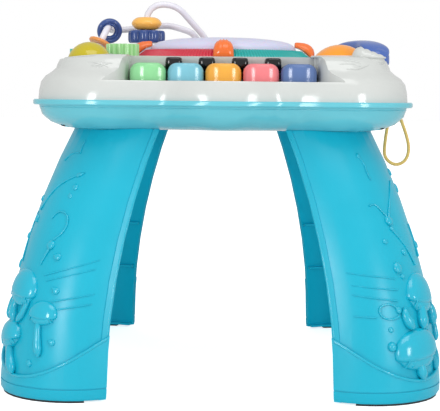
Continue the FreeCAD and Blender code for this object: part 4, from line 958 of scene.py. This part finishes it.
HANDSET_NEAR = Vector((153.5, -22.0))
HANDSET_FAR = Vector((128.0, 46.0))
CUP_RADIUS = 14.5
CUP_FLOOR = 308.0
HANDSET_TOP = 334.0
GRIP_THICK = 11.0
GRIP_HALF_WIDTH = 10.3
GRIP_SWELL_START = 10.0
GRIP_FALL = 13.6
# Cup of the receiver from its face upwards, as (radius, height)
CUP_PROFILE = [
    (0.0, 1.5), (11.2, 1.5), (11.5, 0.3), (12.0, 0.0), (13.4, 0.1), (14.2, 1.0), (14.4, 2.4),
    (14.45, 6.0), (14.3, 9.0), (13.4, 12.0), (11.6, 14.4), (8.5, 16.2), (4.5, 17.2), (0.0, 17.5),
]


def grip_section(u, half):
    """Half width, top and underside of the grip at u millimetres from its middle."""
    share = abs(u) / (half + CUP_RADIUS)
    swell = min(max((abs(u) - GRIP_SWELL_START) / (half - GRIP_SWELL_START), 0.0), 1.0)
    swell = swell * swell * (3 - 2 * swell)
    width = GRIP_HALF_WIDTH + (CUP_RADIUS - 10.6) * swell
    top = HANDSET_TOP - 0.1 - GRIP_FALL * share ** 3.0
    low = top - GRIP_THICK + 0.4 + 3.0 * share ** 3.0
    if abs(u) > half:
        end = math.sqrt(max(1 - ((abs(u) - half) / CUP_RADIUS) ** 2, 0.0))
        width *= end
        middle_z = (top + low) / 2 - 1.5 * (1 - end)
        thick = (top - low) / 2 * (0.25 + 0.75 * end ** 0.8)
        top, low = middle_z + thick, middle_z - thick
    return width, top, low


def make_handset():
    """Receiver: arched grip that swells into a rounded cup at each end."""
    span = HANDSET_FAR - HANDSET_NEAR
    half = span.length / 2
    middle = (HANDSET_FAR + HANDSET_NEAR) / 2
    centre = Vector((middle.x, middle.y, 0)) * MM
    turn = Matrix.Rotation(math.atan2(span.y, span.x), 3, "Z")
    reach = half + CUP_RADIUS
    rows, count = 45, 28
    verts = []
    for row in range(rows):
        u = math.sin(math.pi * (row / (rows - 1) - 0.5)) * (reach - 0.05)
        width, top, low = grip_section(u, half)
        for a in around(count):
            y = width * squarer(math.cos(a), 0.72)
            z = (top + low) / 2 + (top - low) / 2 * squarer(math.sin(a), 0.72)
            verts.append(turn @ Vector((u, y, z)) * MM + centre)
    faces = skin_faces(rows, count) + end_caps(rows, count)
    steps = 48
    for sign in (-1, 1):
        faces += shifted(skin_faces(len(CUP_PROFILE), steps), len(verts))
        for r, z in CUP_PROFILE:
            for a in around(steps):
                point = Vector((sign * half + r * math.cos(a), r * math.sin(a), CUP_FLOOR + z))
                verts.append(turn @ point * MM + centre)
    handset = mesh_piece("soft_handset", verts, faces, handset_plastic, "handset")
    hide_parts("handset")


# Trim moulded on the white deck

HUMP = (135.0, -127.0)
HUMP_SIZE = (16.2, 13.2)
HUMP_PEAK = 9.2
HUMP_CREST = -0.5
HUMP_CLEAR = 18.0
TRAY_LINE = 263.6

# Black keys and the bar that joins them behind
BLACK_PITCH = 31.1
BLACK_HALF_WIDTH = 8.0
BLACK_HALF_LENGTH = 13.95
BLACK_Y = -112.05
BLACK_ROWS = [(298.0, 1.0), (306.0, 1.0), (308.6, 0.985), (310.2, 0.94), (311.1, 0.86), (311.4, 0.72)]
BAR_HALF_LENGTH = 54.0
BAR_Y = (-99.6, -98.2)
BAR_Z = (298.0, 304.6)

# Where the key shaft's bore comes out of the deck's side walls, and its covers
SHAFT_Y = -92.0
SHAFT_Z = 291.4
COVER_RADIUS = 2.4
COVER_CROWN = 0.12
COVER_SINK = 0.9

# Leaf veins, as (start, end, bow) in x and z on the deck's front shoulders
LEAVES = [
    ((-124.0, 305.5), (-104.0, 300.5), 1.6), ((-121.0, 302.0), (-108.0, 306.8), -1.2),
    ((-116.0, 299.5), (-101.0, 304.5), 1.4), ((106.0, 305.5), (128.0, 303.5), 1.8),
    ((112.0, 301.0), (134.0, 305.8), -1.4), ((108.0, 309.0), (126.0, 307.2), 1.0),
]

# Buttons, as x, y and radius, and the rims round them
ORANGE_BUTTON = (111.0, -101.0, 25.0)
YELLOW_BUTTON = (-127.7, -106.0, 20.4)
RIM_GAP = 1.9
RIM_RADIUS = 1.3
# Further than FALL_START to the left of the middle, the deck falls away by FALL_ANGLE degrees
FALL_START = 104.0
FALL_ANGLE = 5.0

# Slim wall between the notch and the orange button's well
# which breaks about 2 mm into the notch's right side
WALL_X = (85.72, 88.1)
WALL_REAR = -98.2
WALL_FRONT = -112.2
WALL_LENGTH = 14.0
WALL_Z = (297.0, 312.9)
WELL_RADIUS = 25.12

# Painted shade of the screw recesses in the tray's edge, as dark patches; the place is in metres
RECESS_X = 0.149
RECESS_Z = 0.2475
RECESS_ROWS = ((3.0, -0.3), (3.0, 0.12), (2.2, 0.2))


def lowered_deck():
    """The deck with its plain hump pressed down, so that the pleated shell stands in its place."""
    deck = put_in_scene("deck_moulding", nodes["top_shell"].data.copy())
    deck.matrix_world = nodes["top_shell"].matrix_world.copy()
    place = deck.matrix_world
    back = place.inverted()
    for vertex in deck.data.vertices:
        point = place @ vertex.co / MM
        near_hump = (point.x - HUMP[0]) ** 2 + (point.y - HUMP[1]) ** 2 < HUMP_CLEAR ** 2
        if point.z > DECK_TOP + 0.2 and near_hump:
            point.z = DECK_TOP + (point.z - DECK_TOP) * 0.12
            vertex.co = back @ (point * MM)
    soften(deck)
    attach(deck, "table")
    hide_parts("top_shell")


def hump_point(along, turn):
    """Point on the pleated hump: along runs over it from left (-1) to right (+1), turn from front
    to back."""
    right = along > HUMP_CREST
    run = 1.0 - HUMP_CREST if right else 1.0 + HUMP_CREST
    crest = HUMP_PEAK * (1.0 - abs((along - HUMP_CREST) / run) ** (1.05 if right else 2.4))
    pleat = 0.9 * abs(math.sin(2.6 * math.pi * (along + 1.0))) if right else 0.0
    height = max(crest + pleat, 0.0)
    half = HUMP_SIZE[1] * math.sqrt(max(1.0 - (0.95 * along) ** 2, 0.02))
    return Vector((HUMP[0] + HUMP_SIZE[0] * along, HUMP[1] - half * math.cos(turn),
                   DECK_TOP - 1.0 + (height + 1.0) * math.sin(turn) ** 0.8)) * MM


def make_hump():
    rows, count = 61, 25
    verts = []
    for row in range(rows):
        along = -1.0 + 2.0 * row / (rows - 1)
        verts += [hump_point(along, math.pi * index / (count - 1)) for index in range(count)]
    hump = mesh_piece("pleated_hump", verts, skin_faces(rows, count) + end_caps(rows, count), deck_plastic)


def make_black_keys():
    """Four glossy black keys with rounded fronts and tops on a low bar."""
    verts, faces = [], []
    count = 48
    for index in range(4):
        x = (index - 1.5) * BLACK_PITCH
        rows = len(BLACK_ROWS)
        faces += shifted(skin_faces(rows, count) + end_caps(rows, count), len(verts))
        for z, share in BLACK_ROWS:
            for a in around(count):
                across = BLACK_HALF_WIDTH * share * squarer(math.cos(a), 0.5)
                along = BLACK_HALF_LENGTH * (1 - (1 - share) * 0.5) * squarer(math.sin(a), 0.3)
                verts.append(Vector((x + across, BLACK_Y + along, z)) * MM)
    faces += shifted(skin_faces(2, 4) + end_caps(2, 4), len(verts))
    front, rear = BAR_Y
    for z in BAR_Z:
        for x, y in ((-BAR_HALF_LENGTH, front), (BAR_HALF_LENGTH, front),
                     (BAR_HALF_LENGTH, rear), (-BAR_HALF_LENGTH, rear)):
            verts.append(Vector((x, y, z)) * MM)
    keys = mesh_piece("soft_black_keys", verts, faces, black_key_plastic)
    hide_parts("black_keys")


def ray_tree(node):
    """Search tree over a node's faces, in metres in the shared frame."""
    obj = nodes[node]
    verts = [obj.matrix_world @ vertex.co for vertex in obj.data.vertices]
    return BVHTree.FromPolygons(verts, [tuple(face.vertices) for face in obj.data.polygons])


def surface_point(tree, start, way):
    """Where a ray meets a surface, in metres, and the direction there that faces its start."""
    place, normal, _, _ = tree.ray_cast(Vector(start), Vector(way).normalized())
    if place is None:
        return None, None
    return place, normal if normal.dot(Vector(way)) < 0 else -normal


def make_leaf_relief():
    """Low leaf veins moulded into the deck's front shoulders, laid on by rays from the front."""
    deck_tree = ray_tree("top_shell")
    strands = []
    for (start_x, start_z), (end_x, end_z), bow in LEAVES:
        strand = []
        for step in range(9):
            t = step / 8
            x = start_x + (end_x - start_x) * t
            z = start_z + (end_z - start_z) * t + bow * math.sin(math.pi * t)
            place, normal = surface_point(deck_tree, (x * MM, -0.4, z * MM), (0.0, 1.0, 0.0))
            if place is not None:
                radius = 0.35 + 0.75 * math.sin(math.pi * (0.1 + 0.8 * t))
                strand.append((place - normal * 0.25 * MM, radius * MM))
        if len(strand) > 3:
            strands.append(strand)
    if strands:
        curve_piece("deck_leaf_relief", strands, deck_plastic)


def make_tray_line():
    """Fine bead moulded round the tray just under the flange."""
    tray_tree = ray_tree("bottom_shell")
    strand = []
    for step in range(241):
        a = 2 * math.pi * step / 240
        way = Vector((-math.cos(a), -math.sin(a), 0.0))
        place, normal = surface_point(tray_tree, Vector((0.0, 0.0, TRAY_LINE * MM)) - way * 0.4, way)
        if place is not None:
            strand.append((place - normal * 0.15 * MM, 0.75 * MM))
    curve_piece("tray_bead", [strand], tray_plastic)


def make_recess_shade():
    """Painted shade of the screw recesses on the tray's rounded lower edge, near the front and rear corners:
    thin dark patches laid on the surface, not hollows.
    """
    tray_tree = ray_tree("bottom_shell")
    verts, faces = [], []
    for sx in (-1, 1):
        for sy in (-1, 1):
            place, normal = surface_point(tray_tree, (sx * RECESS_X, sy * 0.3, RECESS_Z), (0.0, -sy, 0.0))
            if place is None:
                continue
            across = normal.cross(Vector((0.0, 0.0, 1.0))).normalized()
            up = across.cross(normal)
            faces += shifted(skin_faces(3, 20) + end_caps(3, 20), len(verts))
            for radius, lift in RECESS_ROWS:
                for b in around(20):
                    sideways = across * radius * math.cos(b)
                    upwards = up * 0.6 * radius * math.sin(b)
                    verts.append(place + (sideways + upwards + normal * lift) * MM)
    if verts:
        mesh_piece("painted_recess_shade", verts, faces, dark_plastic)


def make_bore_covers():
    """Smooth covers where the key shaft's bore comes out of the deck's side walls."""
    deck_tree = ray_tree("top_shell")
    verts, faces = [], []
    for sx in (-1, 1):
        start = len(verts)
        rim = []
        for a in around(16):
            y = (SHAFT_Y + COVER_RADIUS * math.cos(a)) * MM
            z = (SHAFT_Z + COVER_RADIUS * math.sin(a)) * MM
            place, normal = surface_point(deck_tree, (sx * 0.3, y, z), (-sx, 0.0, 0.0))
            if place is not None:
                rim.append(place + normal * 0.06 * MM)
        middle = sum(rim, Vector((0.0, 0.0, 0.0))) / len(rim)
        verts += rim + [middle + Vector((sx * COVER_CROWN * MM, 0.0, 0.0))]
        verts += [middle - Vector((sx * COVER_SINK * MM, 0.0, 0.0))]
        for step in range(len(rim)):
            after = (step + 1) % len(rim)
            faces.append((start + step, start + after, start + len(rim)))
            faces.append((start + after, start + step, start + len(rim) + 1))
    mesh_piece("bore_covers", verts, faces, deck_plastic)


def make_notch_corner():
    """Slim wall beside the outer right key, which closes the notch towards the button's well."""
    outline = []
    for step in range(15):
        y = WALL_REAR - WALL_LENGTH * step / 14
        reach = math.sqrt(max(WELL_RADIUS ** 2 - (y - ORANGE_BUTTON[1]) ** 2, 0.0))
        outline.append((min(WALL_X[1], ORANGE_BUTTON[0] - reach), y))
    outline += [(WALL_X[0], WALL_FRONT), (WALL_X[0], WALL_REAR)]
    verts = [Vector((x, y, z)) * MM for z in WALL_Z for x, y in outline]
    count = len(outline)
    wall = mesh_piece("notch_corner", verts, skin_faces(2, count) + end_caps(2, count), deck_plastic)
    wall.data.shade_flat()


def make_deck_trim():
    """Low rims moulded round the two dome buttons."""
    rims = []
    for x, y, radius in (ORANGE_BUTTON, YELLOW_BUTTON):
        rim = []
        reach = radius + RIM_GAP
        tilt = math.tan(math.radians(FALL_ANGLE)) if x < -FALL_START else 0.0
        level = DECK_TOP + (x + FALL_START) * tilt
        for step in range(41):
            a = 2 * math.pi * step / 40
            place = Vector((x + reach * math.cos(a), y + reach * math.sin(a),
                            level + reach * math.cos(a) * tilt + 0.1))
            rim.append((place * MM, RIM_RADIUS * MM))
        rims.append(rim)
    curve_piece("button_rims", rims, deck_plastic)


make_camera()
make_cord()
make_light()
make_floor()
dress_solids()
make_leg_relief()
make_leg_edges()
make_ring_halves()
make_clamps()
make_drum_head()
make_beads()
make_handset()
lowered_deck()
make_hump()
make_black_keys()
make_leaf_relief()
make_tray_line()
make_recess_shade()
make_notch_corner()
make_bore_covers()
make_deck_trim()

scene = bpy.context.scene
scene.view_settings.view_transform = "Standard"
